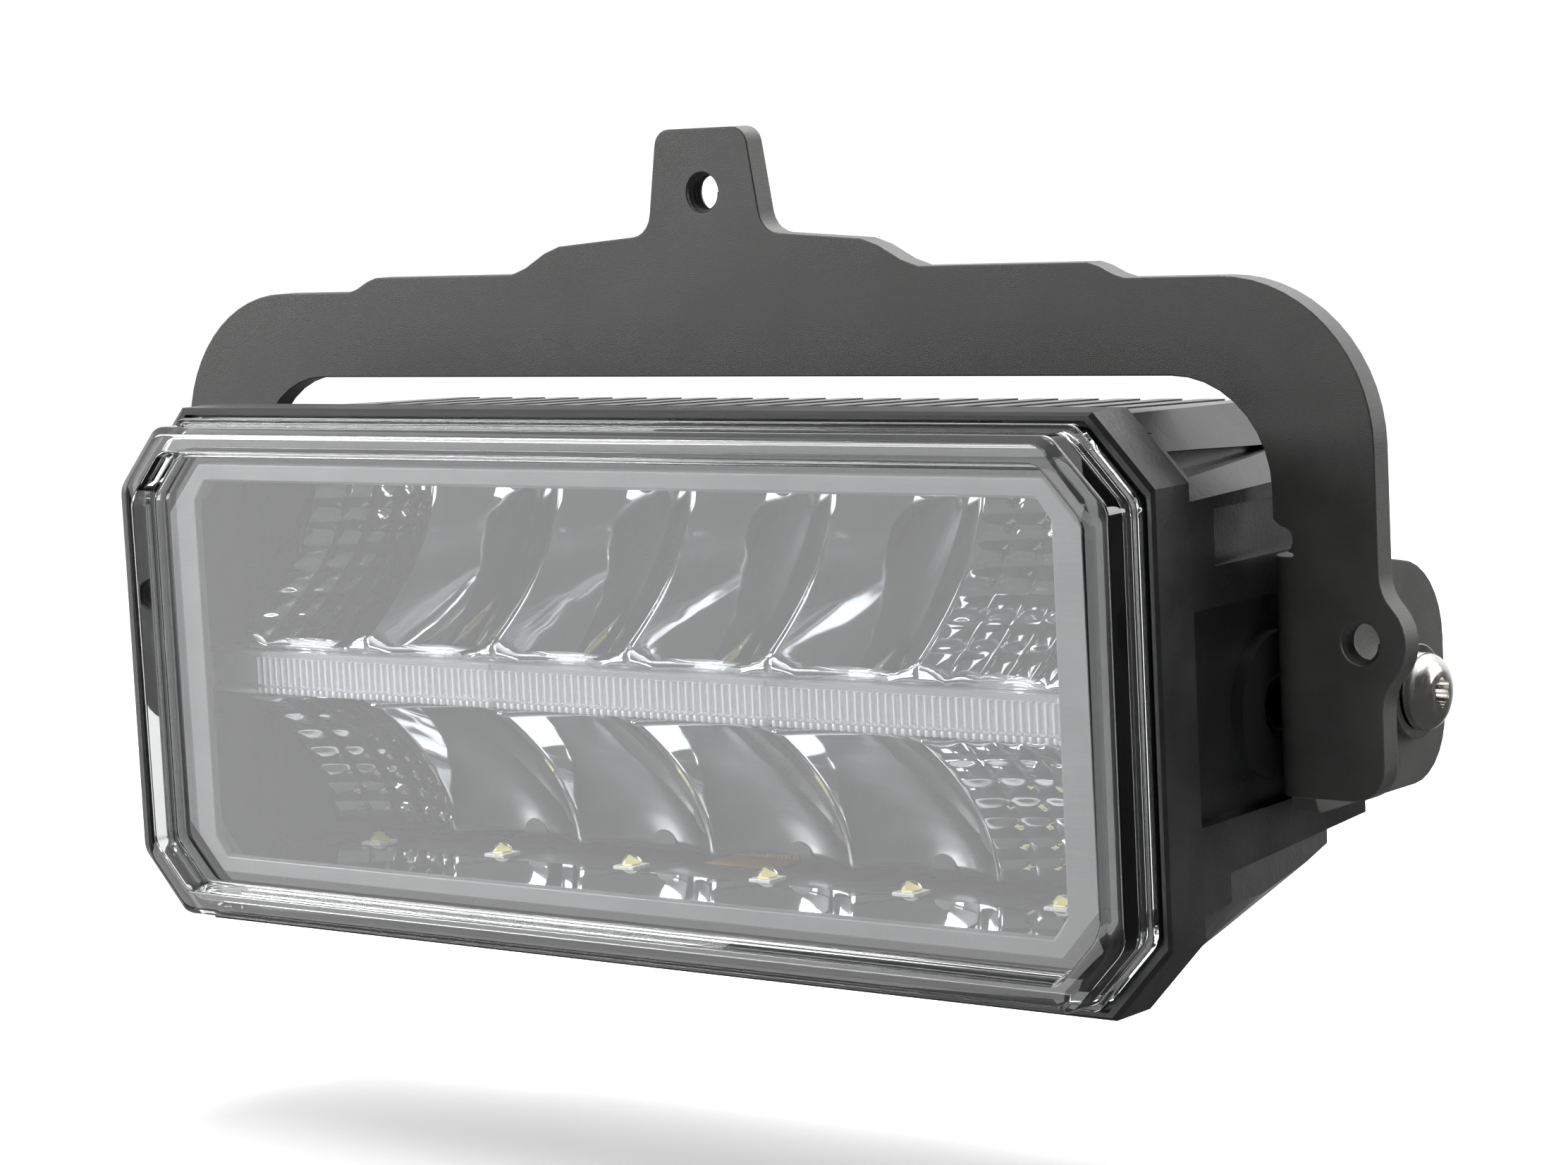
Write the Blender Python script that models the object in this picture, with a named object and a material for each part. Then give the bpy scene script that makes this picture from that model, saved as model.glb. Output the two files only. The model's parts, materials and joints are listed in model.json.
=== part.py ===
"""LED fog lamp in a die-cast housing, tilting in a flat arch bracket.

Metres, +Z up, the lens faces -Y.  The origin lies on the rear face of the arch
plate, on the arch band above the lamp, at mid width.  Sizes below are given in
lamp stations: y is measured back from the lens rim, z from the lens mid height.
"""
import bpy
import bmesh
from math import atan2, cos, degrees, radians, sin, sqrt
from mathutils import Vector

# ---------------------------------------------------------------- driving sizes
GAP = 0.0003                    # air left between neighbouring pieces

# lens
LENS_HALF_W = 0.1200            # outer edge of the rim's chamfer
LENS_HALF_H = 0.0498
CORNER_W = 0.0120               # corner cut of the outer octagon
CORNER_H = 0.0130
RIM_W = 0.0050                  # rim width from chamfer edge to recess
RIM_CHAMFER_W = 0.0033
RIM_CHAMFER_H = 0.0015
RIM_CHAMFER_Y = 0.0012
RIM_EDGE = 0.0005               # small chamfer round the recess
RECESS_DEPTH = 0.0050
RECESS_DRAFT = 0.0012
LENS_WALL = 0.0025
FLANGE_LIP = 0.0012             # flange standing out from the side wall
SIDE_WALL_Y = 0.0080            # where the side wall meets the flange
FLANGE_REAR = 0.0102
SEAL_T = 0.0020
SEAL_W = 0.0058
SEAL_INSET = 0.0007             # seal's outer edge inside the flange's
FLANGE_HALF_W = LENS_HALF_W + FLANGE_LIP
FLANGE_HALF_H = LENS_HALF_H + FLANGE_LIP

# housing
COLLAR_WALL = 0.0018            # collar standing out from the flange
COLLAR_FRONT = 0.0108
COLLAR_REAR = 0.0220
COLLAR_STEP = 0.0015
COLLAR_NOSE = 0.0006
LIP_CLEARANCE = 0.0004
BODY_REAR = 0.085
SIDE_TAPER = 0.0040             # how far each side draws in towards the rear
TOP_TAPER = 0.0038
BOTTOM_BEND_Y = 0.058
BOTTOM_BEND_RISE = 0.0068       # rise of the underside up to its bend
BOTTOM_RISE = 0.0118            # rise of the underside at the rear
MOUTH_INSET = 0.0070            # cavity mouth inside the lens outline
MOUTH_TRIM = 0.0030             # how much smaller the mouth's corner cut is
CHAMBER_REAR = 0.0290           # end of the wide front chamber
CAVITY_STEP_W = 0.0070          # optics chamber inside the mouth
CAVITY_STEP_H = 0.0010
CAVITY_TRIM = 0.0100
REAR_FIN_DEPTH = 0.0150
REAR_WALL = 0.0060
TOP_WALL = 0.0044
FIN_PITCH = 0.0094
FIN_SLOT = 0.0044
TOP_SLOT_FRONT = 0.031
COLLAR_HALF_W = FLANGE_HALF_W + COLLAR_WALL
COLLAR_HALF_H = FLANGE_HALF_H + COLLAR_WALL
REAR_HALF_W = COLLAR_HALF_W - SIDE_TAPER
REAR_TOP = COLLAR_HALF_H - TOP_TAPER
REAR_BOTTOM = BOTTOM_RISE - COLLAR_HALF_H
BOTTOM_BEND_Z = BOTTOM_BEND_RISE - COLLAR_HALF_H
MOUTH_HALF_W = LENS_HALF_W - MOUTH_INSET
MOUTH_HALF_H = LENS_HALF_H - MOUTH_INSET
CAVITY_HALF_W = MOUTH_HALF_W - CAVITY_STEP_W
CAVITY_HALF_H = MOUTH_HALF_H - CAVITY_STEP_H
REAR_SLOT_FLOOR = BODY_REAR - REAR_FIN_DEPTH
CAVITY_REAR = REAR_SLOT_FLOOR - REAR_WALL
TOP_SLOT_FLOOR = CAVITY_HALF_H + TOP_WALL
FIN_FIELD = CAVITY_HALF_W - 0.008
FIN_COUNT = round(2 * FIN_FIELD / FIN_PITCH)

# side pads, pockets, bosses and lugs
PAD_DEPTH = 0.0045              # recessed pad below the collar's side
PAD_TOP_MARGIN = 0.0356         # pad's top edge below the collar's top
PAD_BOTTOM_MARGIN = 0.0323
PAD_FRONT = 0.0245
LUG_R = 0.0133                  # pivot lug about its axis
LUG_FLARE = 0.0015              # extra height where the lug meets the body
LUG_W = 0.0160
LUG_SPARE = 0.0010              # lug metal that the pad recess takes off again
BOSS_Y = 0.0535                 # spare threaded boss on the pad
BOSS_Z = -0.0030
BOSS_R = 0.0135
BOSS_PROUD = 0.0025
INSERT_WALL = 0.0016
INSERT_LEN = 0.0100
BORE_SPARE = 0.0015             # bore beyond the insert's inner end
PAD_X = COLLAR_HALF_W - PAD_DEPTH
PAD_TOP = COLLAR_HALF_H - PAD_TOP_MARGIN
PAD_BOTTOM = PAD_BOTTOM_MARGIN - COLLAR_HALF_H
BOSS_X = PAD_X + BOSS_PROUD

# ears, bent back from the legs
PLATE_T = 0.005                 # bracket sheet thickness
EAR_CLEARANCE = 0.0015          # spare boss to ear
EAR_BEND_R = PLATE_T + 0.0012   # outer bend radius
EAR_REAR = 0.0130               # ear edge behind the pivot
EAR_TOP = 0.0245                # ear edge beside the leg
EAR_TOP_REAR = 0.0195
EAR_BOTTOM = -0.0225
EAR_TOP_R = 0.016
EAR_BOTTOM_R = 0.012
EAR_INNER = BOSS_X + EAR_CLEARANCE

# arch bracket
PLATE_FRONT = 0.046             # front face of the arch, station y
SWING_CLEARANCE = 0.0018        # collar to leg
ARCH_CLEARANCE = 0.0035         # collar to the underside of the arch
LEG_W = 0.0207
BAND_H = 0.0176                 # height of the arch beside the steps
STEP_RISE = 0.0029              # top edge between step and ramp
PLATEAU_RISE = 0.0083           # outer end of the plateau
PLATEAU_MID_RISE = 0.0097       # plateau at the foot of the tab
TAB_RISE = 0.0303
TAB_HOLE_DROP = 0.0124          # hole centre below the tab's top
TAB_HALF_TOP = 0.0115
TAB_HALF_FOOT = 0.0135
TAB_CORNER_R = 0.0035
TAB_FOOT_R = 0.0050
RAMP_HEAD_X = 0.0375
RAMP_FOOT_X = 0.0505
STEP_X = 0.0575                 # from the leg's outer edge to the shoulder's step
OPENING_R = 0.020               # inner corner of the arch
SHOULDER_R = 0.030              # outer corner of the arch
LEG_BOTTOM = -0.0182
LEG_CORNER_R = 0.0062
LEG_HOLE_EDGE = 0.0041          # hole centre to the leg's straight outer edge
LEG_HOLE_Z = 0.0098
LEG_BULGE_R = 0.0090
BULGE_FILLET = 0.0080           # fillet between leg edge and bulge
M8_HOLE_R = 0.0039              # threaded holes of the bracket
NOTCH_R = 0.0024                # relief notch above each ear's bend
ORIGIN_RISE = 0.0137            # frame origin above the arch's underside
LEG_INNER = COLLAR_HALF_W + SWING_CLEARANCE
LEG_OUTER = LEG_INNER + LEG_W
LEG_HOLE_X = LEG_OUTER - LEG_HOLE_EDGE
OPENING_TOP = COLLAR_HALF_H + ARCH_CLEARANCE
SHOULDER_Z = OPENING_TOP + BAND_H
TAB_TOP = SHOULDER_Z + TAB_RISE
TAB_HOLE_Z = TAB_TOP - TAB_HOLE_DROP

# pivot
PIVOT_BEHIND = 0.0030           # pivot axis behind the housing's rear
PIVOT_Z = -0.005
SCREW_R = 0.0039
SCREW_LEN = 0.016               # shank below the washer
SCREW_CLEARANCE = 0.0004
HEAD_LIP = 0.0033
HEAD_H = 0.0044
WASHER_LIP = 0.0016
WASHER_T = 0.0016
FRICTION_W = 0.0081
M8_BORE_R = SCREW_R + GAP
INSERT_R = M8_BORE_R + INSERT_WALL
HEAD_R = SCREW_R + HEAD_LIP
WASHER_R = HEAD_R + WASHER_LIP
FRICTION_R = SCREW_R + FRICTION_W
LUG_BOSS_R = FRICTION_R + 0.0005
PIVOT_Y = BODY_REAR + PIVOT_BEHIND
FRICTION_T = EAR_CLEARANCE
LUG_X = EAR_INNER - FRICTION_T - 2 * GAP

# optics
CUP_COUNT = 6
CUP_MARGIN = 0.0040             # outer cups to the chamber wall
FOCUS_Y = 0.0355
FOCAL_LENGTH = 0.011
LED_SINK = 0.0044               # LED chips below the mouth's edge
LED_BASE = 0.0052
LED_BASE_T = 0.0008
LED_CHIP = 0.0003               # chip plane above the base
LED_DOME_R = 0.0020
BOARD_T = 0.0016
BOARD_FRONT = FOCUS_Y - 0.0065
BOARD_REAR = FOCUS_Y + 0.0115
BOARD_MARGIN = 0.0010
REFLECTOR_T = 0.0016
REFLECTOR_FRONT = 0.0172
CUP_EDGE = 0.0020               # cup's edge below the LED plane
UPPER_CUP_END = 0.0040          # cup's end above mid height
LOWER_CUP_END = 0.0072
GUIDE_Z = -0.0015
GUIDE_H = 0.0088
GUIDE_FRONT = 0.0165
GUIDE_DEPTH = 0.0070
GUIDE_MARGIN = 0.0012           # light bars to the chamber wall
GUIDE_BOARD_T = 0.0010
CARRIER_T = 0.0020
BEZEL_FRONT = 0.0082
BEZEL_REAR = 0.0140
BEZEL_T = 0.0014
BEZEL_CLEARANCE = 0.0010        # skirt to housing mouth
WINDOW_BORDER = 0.0085          # window inside the mouth, at the sides
WINDOW_TRIM = 0.0090            # how much smaller the window's corner cut is
STRIP_T = 0.0008                # mirrored floor strips
RIBBON_T = 0.0006               # flat cables between the boards
RIBBON_HALF_W = 0.0080
CUP_PITCH = 2 * (CAVITY_HALF_W - CUP_MARGIN) / CUP_COUNT
LED_Z = MOUTH_HALF_H - LED_SINK
LED_FOOT = LED_Z + LED_BASE_T + LED_CHIP
WINDOW_HALF_W = MOUTH_HALF_W - WINDOW_BORDER
WINDOW_HALF_H = LED_Z + 0.0002
GUIDE_END = MOUTH_HALF_W - GUIDE_MARGIN
GUIDE_JOINT = CUP_PITCH         # joints between the three light bars

# rear fittings
DRIVER_BACK_SPACE = 0.0080      # driver board's front face to the cavity's rear
DRIVER_HALF_W = 0.070
DRIVER_HALF_H = 0.024
GLAND_X = 0.040
GLAND_R = 0.0075
GLAND_BORE_R = 0.0034
VENT_X = -0.040
VENT_R = 0.0065
STEM_SHARE = 0.8                # stem of a fitting, as a share of its flange
PORT_PAD_R = 0.0130             # round flat on the rear around each fitting
DRIVER_Y = CAVITY_REAR - DRIVER_BACK_SPACE

ORIGIN = Vector((0.0, PLATE_FRONT + PLATE_T, OPENING_TOP + ORIGIN_RISE))
PIVOT = Vector((0.0, PIVOT_Y, PIVOT_Z)) - ORIGIN

# ---------------------------------------------------------------- finishes
FINISHES = {
    "satin_black": ((0.018, 0.018, 0.019), 0.42, 0.35),
    "powder_black": ((0.035, 0.036, 0.034), 0.60, 0.0),
    "clear": ((0.80, 0.82, 0.84), 0.05, 0.0),
    "seal": ((0.010, 0.010, 0.010), 0.75, 0.0),
    "bezel": ((0.060, 0.060, 0.063), 0.45, 0.0),
    "mirror": ((0.62, 0.63, 0.64), 0.10, 1.0),
    "board": ((0.70, 0.70, 0.68), 0.50, 0.0),
    "board_green": ((0.03, 0.15, 0.07), 0.50, 0.0),
    "led": ((0.85, 0.75, 0.25), 0.30, 0.0),
    "stainless": ((0.70, 0.69, 0.66), 0.20, 1.0),
    "zinc": ((0.55, 0.54, 0.50), 0.30, 1.0),
    "friction": ((0.03, 0.03, 0.03), 0.70, 0.0),
    "plastic": ((0.02, 0.02, 0.02), 0.50, 0.0),
}


def material(name):
    """One Principled material per finish, made the first time it is asked for."""
    found = bpy.data.materials.get(name)
    if found:
        return found
    colour, roughness, metallic = FINISHES[name]
    made = bpy.data.materials.new(name)
    made.use_nodes = True
    shader = made.node_tree.nodes["Principled BSDF"]
    shader.inputs["Base Color"].default_value = (*colour, 1.0)
    shader.inputs["Roughness"].default_value = roughness
    shader.inputs["Metallic"].default_value = metallic
    made.diffuse_color = (*colour, 1.0)
    return made


# ---------------------------------------------------------------- making solids
def clear_scene():
    for obj in list(bpy.data.objects):
        bpy.data.objects.remove(obj, do_unlink=True)


def add_empty(name, place):
    empty = bpy.data.objects.new(name, None)
    bpy.context.collection.objects.link(empty)
    empty.location = place
    return empty


def add_object(name, bm, finish, parent):
    """Turn a bmesh in lamp stations into an object placed under its empty."""
    bmesh.ops.recalc_face_normals(bm, faces=bm.faces)
    mesh = bpy.data.meshes.new(name)
    bm.to_mesh(mesh)
    bm.free()
    obj = bpy.data.objects.new(name, mesh)
    bpy.context.collection.objects.link(obj)
    obj.data.materials.append(material(finish))
    obj.parent = parent
    obj.location = -ORIGIN - parent.location
    return obj


def smooth(obj, angle=30):
    obj.data.shade_smooth()
    obj.data.set_sharp_from_angle(angle=radians(angle))
    return obj


def solidify_loop(bm, loop_a, loop_b):
    for i in range(len(loop_a)):
        j = (i + 1) % len(loop_a)
        bm.faces.new((loop_a[i], loop_a[j], loop_b[j], loop_b[i]))


def loft(rings, closed=False):
    """Skin between equal rings of points; capped at both ends unless closed."""
    bm = bmesh.new()
    loops = [[bm.verts.new(p) for p in ring] for ring in rings]
    for loop_a, loop_b in zip(loops, loops[1:]):
        solidify_loop(bm, loop_a, loop_b)
    if closed:
        solidify_loop(bm, loops[-1], loops[0])
    else:
        bm.faces.new(loops[0])
        bm.faces.new(loops[-1])
    return bm


def prism(outline, axis, start, end):
    """Extrude a 2D outline along an axis; the outline holds the other two."""
    def place(u, v, w):
        return {"X": (w, u, v), "Y": (u, w, v), "Z": (u, v, w)}[axis]
    return loft([[place(u, v, start) for u, v in outline],
                 [place(u, v, end) for u, v in outline]])


def box(low, high):
    outline = [(low[0], low[2]), (high[0], low[2]), (high[0], high[2]), (low[0], high[2])]
    return prism(outline, "Y", low[1], high[1])


def arc(centre, radius, start, end, steps):
    """Points on an arc, angles in degrees."""
    points = []
    for i in range(steps + 1):
        a = radians(start + (end - start) * i / steps)
        points.append((centre[0] + radius * cos(a), centre[1] + radius * sin(a)))
    return points


def circle(centre, radius, steps):
    return arc(centre, radius, 0, 360 * (steps - 1) / steps, steps - 1)


def octagon(half_w, top, bottom, cut_w, cut_h, y):
    """Rectangle with cut corners, as a ring of points at station y."""
    corners = [(half_w, top - cut_h), (half_w - cut_w, top), (cut_w - half_w, top),
               (-half_w, top - cut_h), (-half_w, bottom + cut_h), (cut_w - half_w, bottom),
               (half_w - cut_w, bottom), (half_w, bottom + cut_h)]
    return [(x, y, z) for x, z in corners]


def ring(half_w, half_h, y, shrink=0.0):
    """Octagon of the lens family, its corner cut trimmed as it gets smaller."""
    return octagon(half_w, half_h, -half_h, CORNER_W - shrink, CORNER_H - shrink, y)


def turned(profile, centre, axis, steps):
    """Solid of revolution: profile is (radius, position along the axis)."""
    rings = []
    for radius, along in profile:
        points = []
        for u, v in circle((0, 0), radius, steps):
            if axis == "X":
                points.append((along, centre[1] + u, centre[2] + v))
            elif axis == "Y":
                points.append((centre[0] + u, along, centre[2] + v))
            else:
                points.append((centre[0] + u, centre[1] + v, along))
        rings.append(points)
    return rings


def cylinder(radius, centre, axis, start, end, steps=24):
    return loft(turned([(radius, start), (radius, end)], centre, axis, steps))


def tube(outer, inner, centre, axis, start, end, steps=24):
    profile = [(outer, start), (outer, end), (inner, end), (inner, start)]
    return loft(turned(profile, centre, axis, steps), closed=True)


def merge_into(target, source):
    """Move the geometry of one bmesh into another."""
    mesh = bpy.data.meshes.new("merge")
    source.to_mesh(mesh)
    source.free()
    target.from_mesh(mesh)
    bpy.data.meshes.remove(mesh)
    return target


def cut(obj, cutter_bm, label, operation="DIFFERENCE"):
    """Boolean of an object with a bmesh in lamp stations, kept as a modifier."""
    cutter = add_object(obj.name + "_" + label, cutter_bm, "plastic", obj.parent)
    cutter.hide_render = True
    cutter.display_type = "WIRE"
    modifier = obj.modifiers.new(label, "BOOLEAN")
    modifier.operation = operation
    modifier.object = cutter
    modifier.solver = "EXACT"
    return obj


# ---------------------------------------------------------------- arch bracket
def arch_half_outline():
    """Right half of the arch, from the tab's top centre round to the opening."""
    tab_corner = TAB_HALF_TOP - TAB_CORNER_R
    points = arc((tab_corner, TAB_TOP - TAB_CORNER_R), TAB_CORNER_R, 90, 8, 5)
    plateau_mid = SHOULDER_Z + PLATEAU_MID_RISE
    points += arc((TAB_HALF_FOOT + TAB_FOOT_R, plateau_mid + TAB_FOOT_R), TAB_FOOT_R, 188, 266, 5)
    points += eased_step(RAMP_HEAD_X, SHOULDER_Z + PLATEAU_RISE, RAMP_FOOT_X, SHOULDER_Z + STEP_RISE)
    step = LEG_OUTER - STEP_X
    points += eased_step(step, SHOULDER_Z + STEP_RISE, step + 0.0078, SHOULDER_Z)
    centre = (LEG_OUTER - SHOULDER_R, SHOULDER_Z - SHOULDER_R)
    points += arc(centre, SHOULDER_R, 90, 0, 14)
    points += bulge_outline()
    corner = (LEG_OUTER - LEG_CORNER_R, LEG_BOTTOM + LEG_CORNER_R)
    points += arc(corner, LEG_CORNER_R, 0, -90, 6)
    points += [(EAR_INNER + EAR_BEND_R, LEG_BOTTOM)]
    points += relief_outline()
    centre = (LEG_INNER - OPENING_R, OPENING_TOP - OPENING_R)
    points += arc(centre, OPENING_R, 0, 90, 9)
    return points


def eased_step(x_high, z_high, x_low, z_low):
    """Soft step down: an S of four points between two levels."""
    run, rise = x_low - x_high, z_high - z_low
    return [(x_high, z_high), (x_high + 0.3 * run, z_high - 0.24 * rise),
            (x_low - 0.3 * run, z_low + 0.24 * rise), (x_low, z_low)]


def bulge_outline():
    """Round swelling of the leg's outer edge about its threaded hole."""
    reach = LEG_BULGE_R + BULGE_FILLET
    run = LEG_OUTER + BULGE_FILLET - LEG_HOLE_X
    rise = sqrt(reach ** 2 - run ** 2)
    swing = degrees(atan2(rise, run))
    side = LEG_HOLE_X + run
    points = arc((side, LEG_HOLE_Z + rise), BULGE_FILLET, 180, 180 + swing, 4)
    points += arc((LEG_HOLE_X, LEG_HOLE_Z), LEG_BULGE_R, swing, -swing, 7)[1:-1]
    points += arc((side, LEG_HOLE_Z - rise), BULGE_FILLET, 180 - swing, 180, 4)
    return points


def relief_outline():
    """Relief notch above the ear's bend, then up the inner edge of the leg."""
    edge = EAR_TOP + 2 * GAP
    notch_z = edge + NOTCH_R
    points = [(EAR_INNER + EAR_BEND_R, edge)]
    points += arc((LEG_INNER + NOTCH_R * 0.6, notch_z), NOTCH_R, -60, 90, 6)
    points += [(LEG_INNER, notch_z + NOTCH_R * 1.5)]
    return points


def ear_outline():
    """Ear in the YZ plane, straight along its foot, round about the pivot."""
    rear = PIVOT_Y + EAR_REAR
    bend_end = PLATE_FRONT + EAR_BEND_R
    points = [(PLATE_FRONT - 0.001, LEG_BOTTOM), (PLATE_FRONT - 0.001, EAR_TOP),
              (bend_end + 0.004, EAR_TOP)]
    points += arc((rear - EAR_TOP_R, EAR_TOP_REAR - EAR_TOP_R), EAR_TOP_R, 84, 0, 8)
    points += arc((rear - EAR_BOTTOM_R, EAR_BOTTOM + EAR_BOTTOM_R), EAR_BOTTOM_R, 0, -90, 7)
    points += arc((bend_end + 0.003, EAR_BOTTOM + 0.002), 0.002, -90, -170, 4)
    points += [(bend_end, LEG_BOTTOM)]
    return points


def bent_strip(side):
    """The leg's inner margin, the bend and the ear, as one folded strip."""
    inner_r = EAR_BEND_R - PLATE_T
    centre = (EAR_INNER + EAR_BEND_R, PLATE_FRONT + EAR_BEND_R)
    weld_x = centre[0] + 0.002
    rear = PIVOT_Y + EAR_REAR + 0.002
    outline = [(weld_x, PLATE_FRONT + PLATE_T), (weld_x, PLATE_FRONT)]
    outline += arc(centre, EAR_BEND_R, 270, 180, 8)
    outline += [(EAR_INNER, rear), (EAR_INNER + PLATE_T, rear)]
    outline += arc(centre, inner_r, 180, 270, 5)
    outline = [(side * x, y) for x, y in outline]
    return prism(outline, "Z", EAR_BOTTOM - 0.002, EAR_TOP + 0.0002)


def make_ear_solid(side, parent):
    """Ear strip trimmed to the ear's outline; a cutter for the arch's union."""
    bm = bent_strip(side)
    start, end = sorted((side * (EAR_INNER - 0.003), side * (LEG_INNER + 0.012)))
    ear = add_object("ear_" + ("right" if side > 0 else "left") + "_blank", bm, "plastic", parent)
    ear.hide_render = True
    ear.display_type = "WIRE"
    cut(ear, prism(ear_outline(), "X", start, end), "outline", "INTERSECT")
    hole = cylinder(SCREW_R + SCREW_CLEARANCE, (0, PIVOT_Y, PIVOT_Z), "X", start, end, 24)
    cut(ear, hole, "hole")
    return ear


def make_arch(parent):
    half = arch_half_outline()
    mirrored = [(-x, z) for x, z in reversed(half)]
    rear = PLATE_FRONT + PLATE_T
    plate = prism(half + mirrored, "Y", PLATE_FRONT, rear)
    arch = add_object("mounting_arch", plate, "powder_black", parent)
    for side in (1, -1):
        ear = make_ear_solid(side, parent)
        union = arch.modifiers.new("ear", "BOOLEAN")
        union.operation = "UNION"
        union.object = ear
        union.solver = "EXACT"
    front, back = PLATE_FRONT - 0.002, rear + 0.002
    holes = cylinder(M8_HOLE_R, (0, 0, TAB_HOLE_Z), "Y", front, back, 24)
    for side in (1, -1):
        centre = (side * LEG_HOLE_X, 0, LEG_HOLE_Z)
        merge_into(holes, cylinder(M8_HOLE_R, centre, "Y", front, back, 24))
    cut(arch, holes, "threaded_holes")
    return arch


# ---------------------------------------------------------------- lens and seal
def make_lens(parent):
    """Clear front: recessed face, solid raised rim, side wall and flange."""
    rim_inner_w = LENS_HALF_W - RIM_W
    rim_inner_h = LENS_HALF_H - RIM_W
    floor_w = rim_inner_w - RECESS_DRAFT
    floor_h = rim_inner_h - RECESS_DRAFT
    flat_w = LENS_HALF_W - RIM_CHAMFER_W
    flat_h = LENS_HALF_H - RIM_CHAMFER_H
    inside_w = LENS_HALF_W - LENS_WALL
    inside_h = LENS_HALF_H - LENS_WALL
    rings = [
        ring(floor_w, floor_h, RECESS_DEPTH, 0.0038),
        ring(rim_inner_w, rim_inner_h, RIM_EDGE, 0.0032),
        ring(rim_inner_w + RIM_EDGE, rim_inner_h + RIM_EDGE, 0.0, 0.0030),
        ring(flat_w, flat_h, 0.0, 0.0020),
        ring(LENS_HALF_W, LENS_HALF_H, RIM_CHAMFER_Y, 0.0005),
        ring(LENS_HALF_W + GAP, LENS_HALF_H + GAP, SIDE_WALL_Y, 0.0),
        ring(FLANGE_HALF_W, FLANGE_HALF_H, SIDE_WALL_Y + GAP, 0.0),
        ring(FLANGE_HALF_W, FLANGE_HALF_H, FLANGE_REAR, 0.0),
        ring(inside_w, inside_h, FLANGE_REAR, 0.0010),
        ring(inside_w - RIM_EDGE, inside_h - RIM_EDGE, RECESS_DEPTH + LENS_WALL, 0.0015),
    ]
    return add_object("lens", loft(rings), "clear", parent)


def make_seal(parent):
    """Rubber ring squeezed between the lens flange and the housing."""
    outer_w = FLANGE_HALF_W - SEAL_INSET
    outer_h = FLANGE_HALF_H - SEAL_INSET
    front = FLANGE_REAR + GAP
    rear = front + SEAL_T
    rings = [ring(outer_w, outer_h, front), ring(outer_w, outer_h, rear),
             ring(outer_w - SEAL_W, outer_h - SEAL_W, rear, 0.0025),
             ring(outer_w - SEAL_W, outer_h - SEAL_W, front, 0.0025)]
    return add_object("lens_seal", loft(rings, closed=True), "seal", parent)


# ---------------------------------------------------------------- housing
def housing_outer():
    """Collar, then a body whose sides draw in and whose underside climbs."""
    body_w = COLLAR_HALF_W - COLLAR_STEP
    body_h = COLLAR_HALF_H - COLLAR_STEP
    nose = COLLAR_NOSE
    share = (BOTTOM_BEND_Y - COLLAR_REAR) / (BODY_REAR - COLLAR_REAR)
    bend_w = body_w + (REAR_HALF_W - body_w) * share
    bend_top = body_h + (REAR_TOP - body_h) * share
    step_y = COLLAR_REAR + COLLAR_STEP
    return loft([
        octagon(COLLAR_HALF_W - nose, COLLAR_HALF_H - nose, nose - COLLAR_HALF_H,
                CORNER_W, CORNER_H, COLLAR_FRONT),
        octagon(COLLAR_HALF_W, COLLAR_HALF_H, -COLLAR_HALF_H,
                CORNER_W, CORNER_H, COLLAR_FRONT + nose),
        octagon(COLLAR_HALF_W, COLLAR_HALF_H, -COLLAR_HALF_H, CORNER_W, CORNER_H, COLLAR_REAR),
        octagon(body_w, body_h, -body_h, CORNER_W + 0.002, CORNER_H + 0.002, step_y),
        octagon(bend_w, bend_top, BOTTOM_BEND_Z, CORNER_W + 0.004, CORNER_H, BOTTOM_BEND_Y),
        octagon(REAR_HALF_W, REAR_TOP, REAR_BOTTOM, CORNER_W + 0.006, CORNER_H, BODY_REAR),
    ])


def fin_slots():
    """Slots along the top and down the rear that leave the cooling fins."""
    above, behind = COLLAR_HALF_H + 0.007, BODY_REAR + 0.010
    outline = [(TOP_SLOT_FRONT, above), (TOP_SLOT_FRONT + 0.002, TOP_SLOT_FLOOR),
               (REAR_SLOT_FLOOR, TOP_SLOT_FLOOR), (REAR_SLOT_FLOOR, -above),
               (behind, -above), (behind, above)]
    slots = bmesh.new()
    for i in range(FIN_COUNT):
        mid = (i - (FIN_COUNT - 1) / 2) * FIN_PITCH
        merge_into(slots, prism(outline, "X", mid - FIN_SLOT / 2, mid + FIN_SLOT / 2))
    return slots


def side_wedge(side, low, high, front, depth, drop=0.0):
    """Ramped side pocket: nothing at the front, deepest at the open rear."""
    outside = COLLAR_HALF_W + 0.004
    face = COLLAR_HALF_W - COLLAR_STEP
    rear = BODY_REAR + 0.003
    outline = [(side * outside, front), (side * outside, rear),
               (side * (REAR_HALF_W - depth), rear), (side * (face - 0.0008), front)]
    wedge = prism(outline, "Z", low, high)
    for vert in wedge.verts:
        if vert.co.y > front + 0.001:
            vert.co.z += drop
    return wedge


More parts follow.
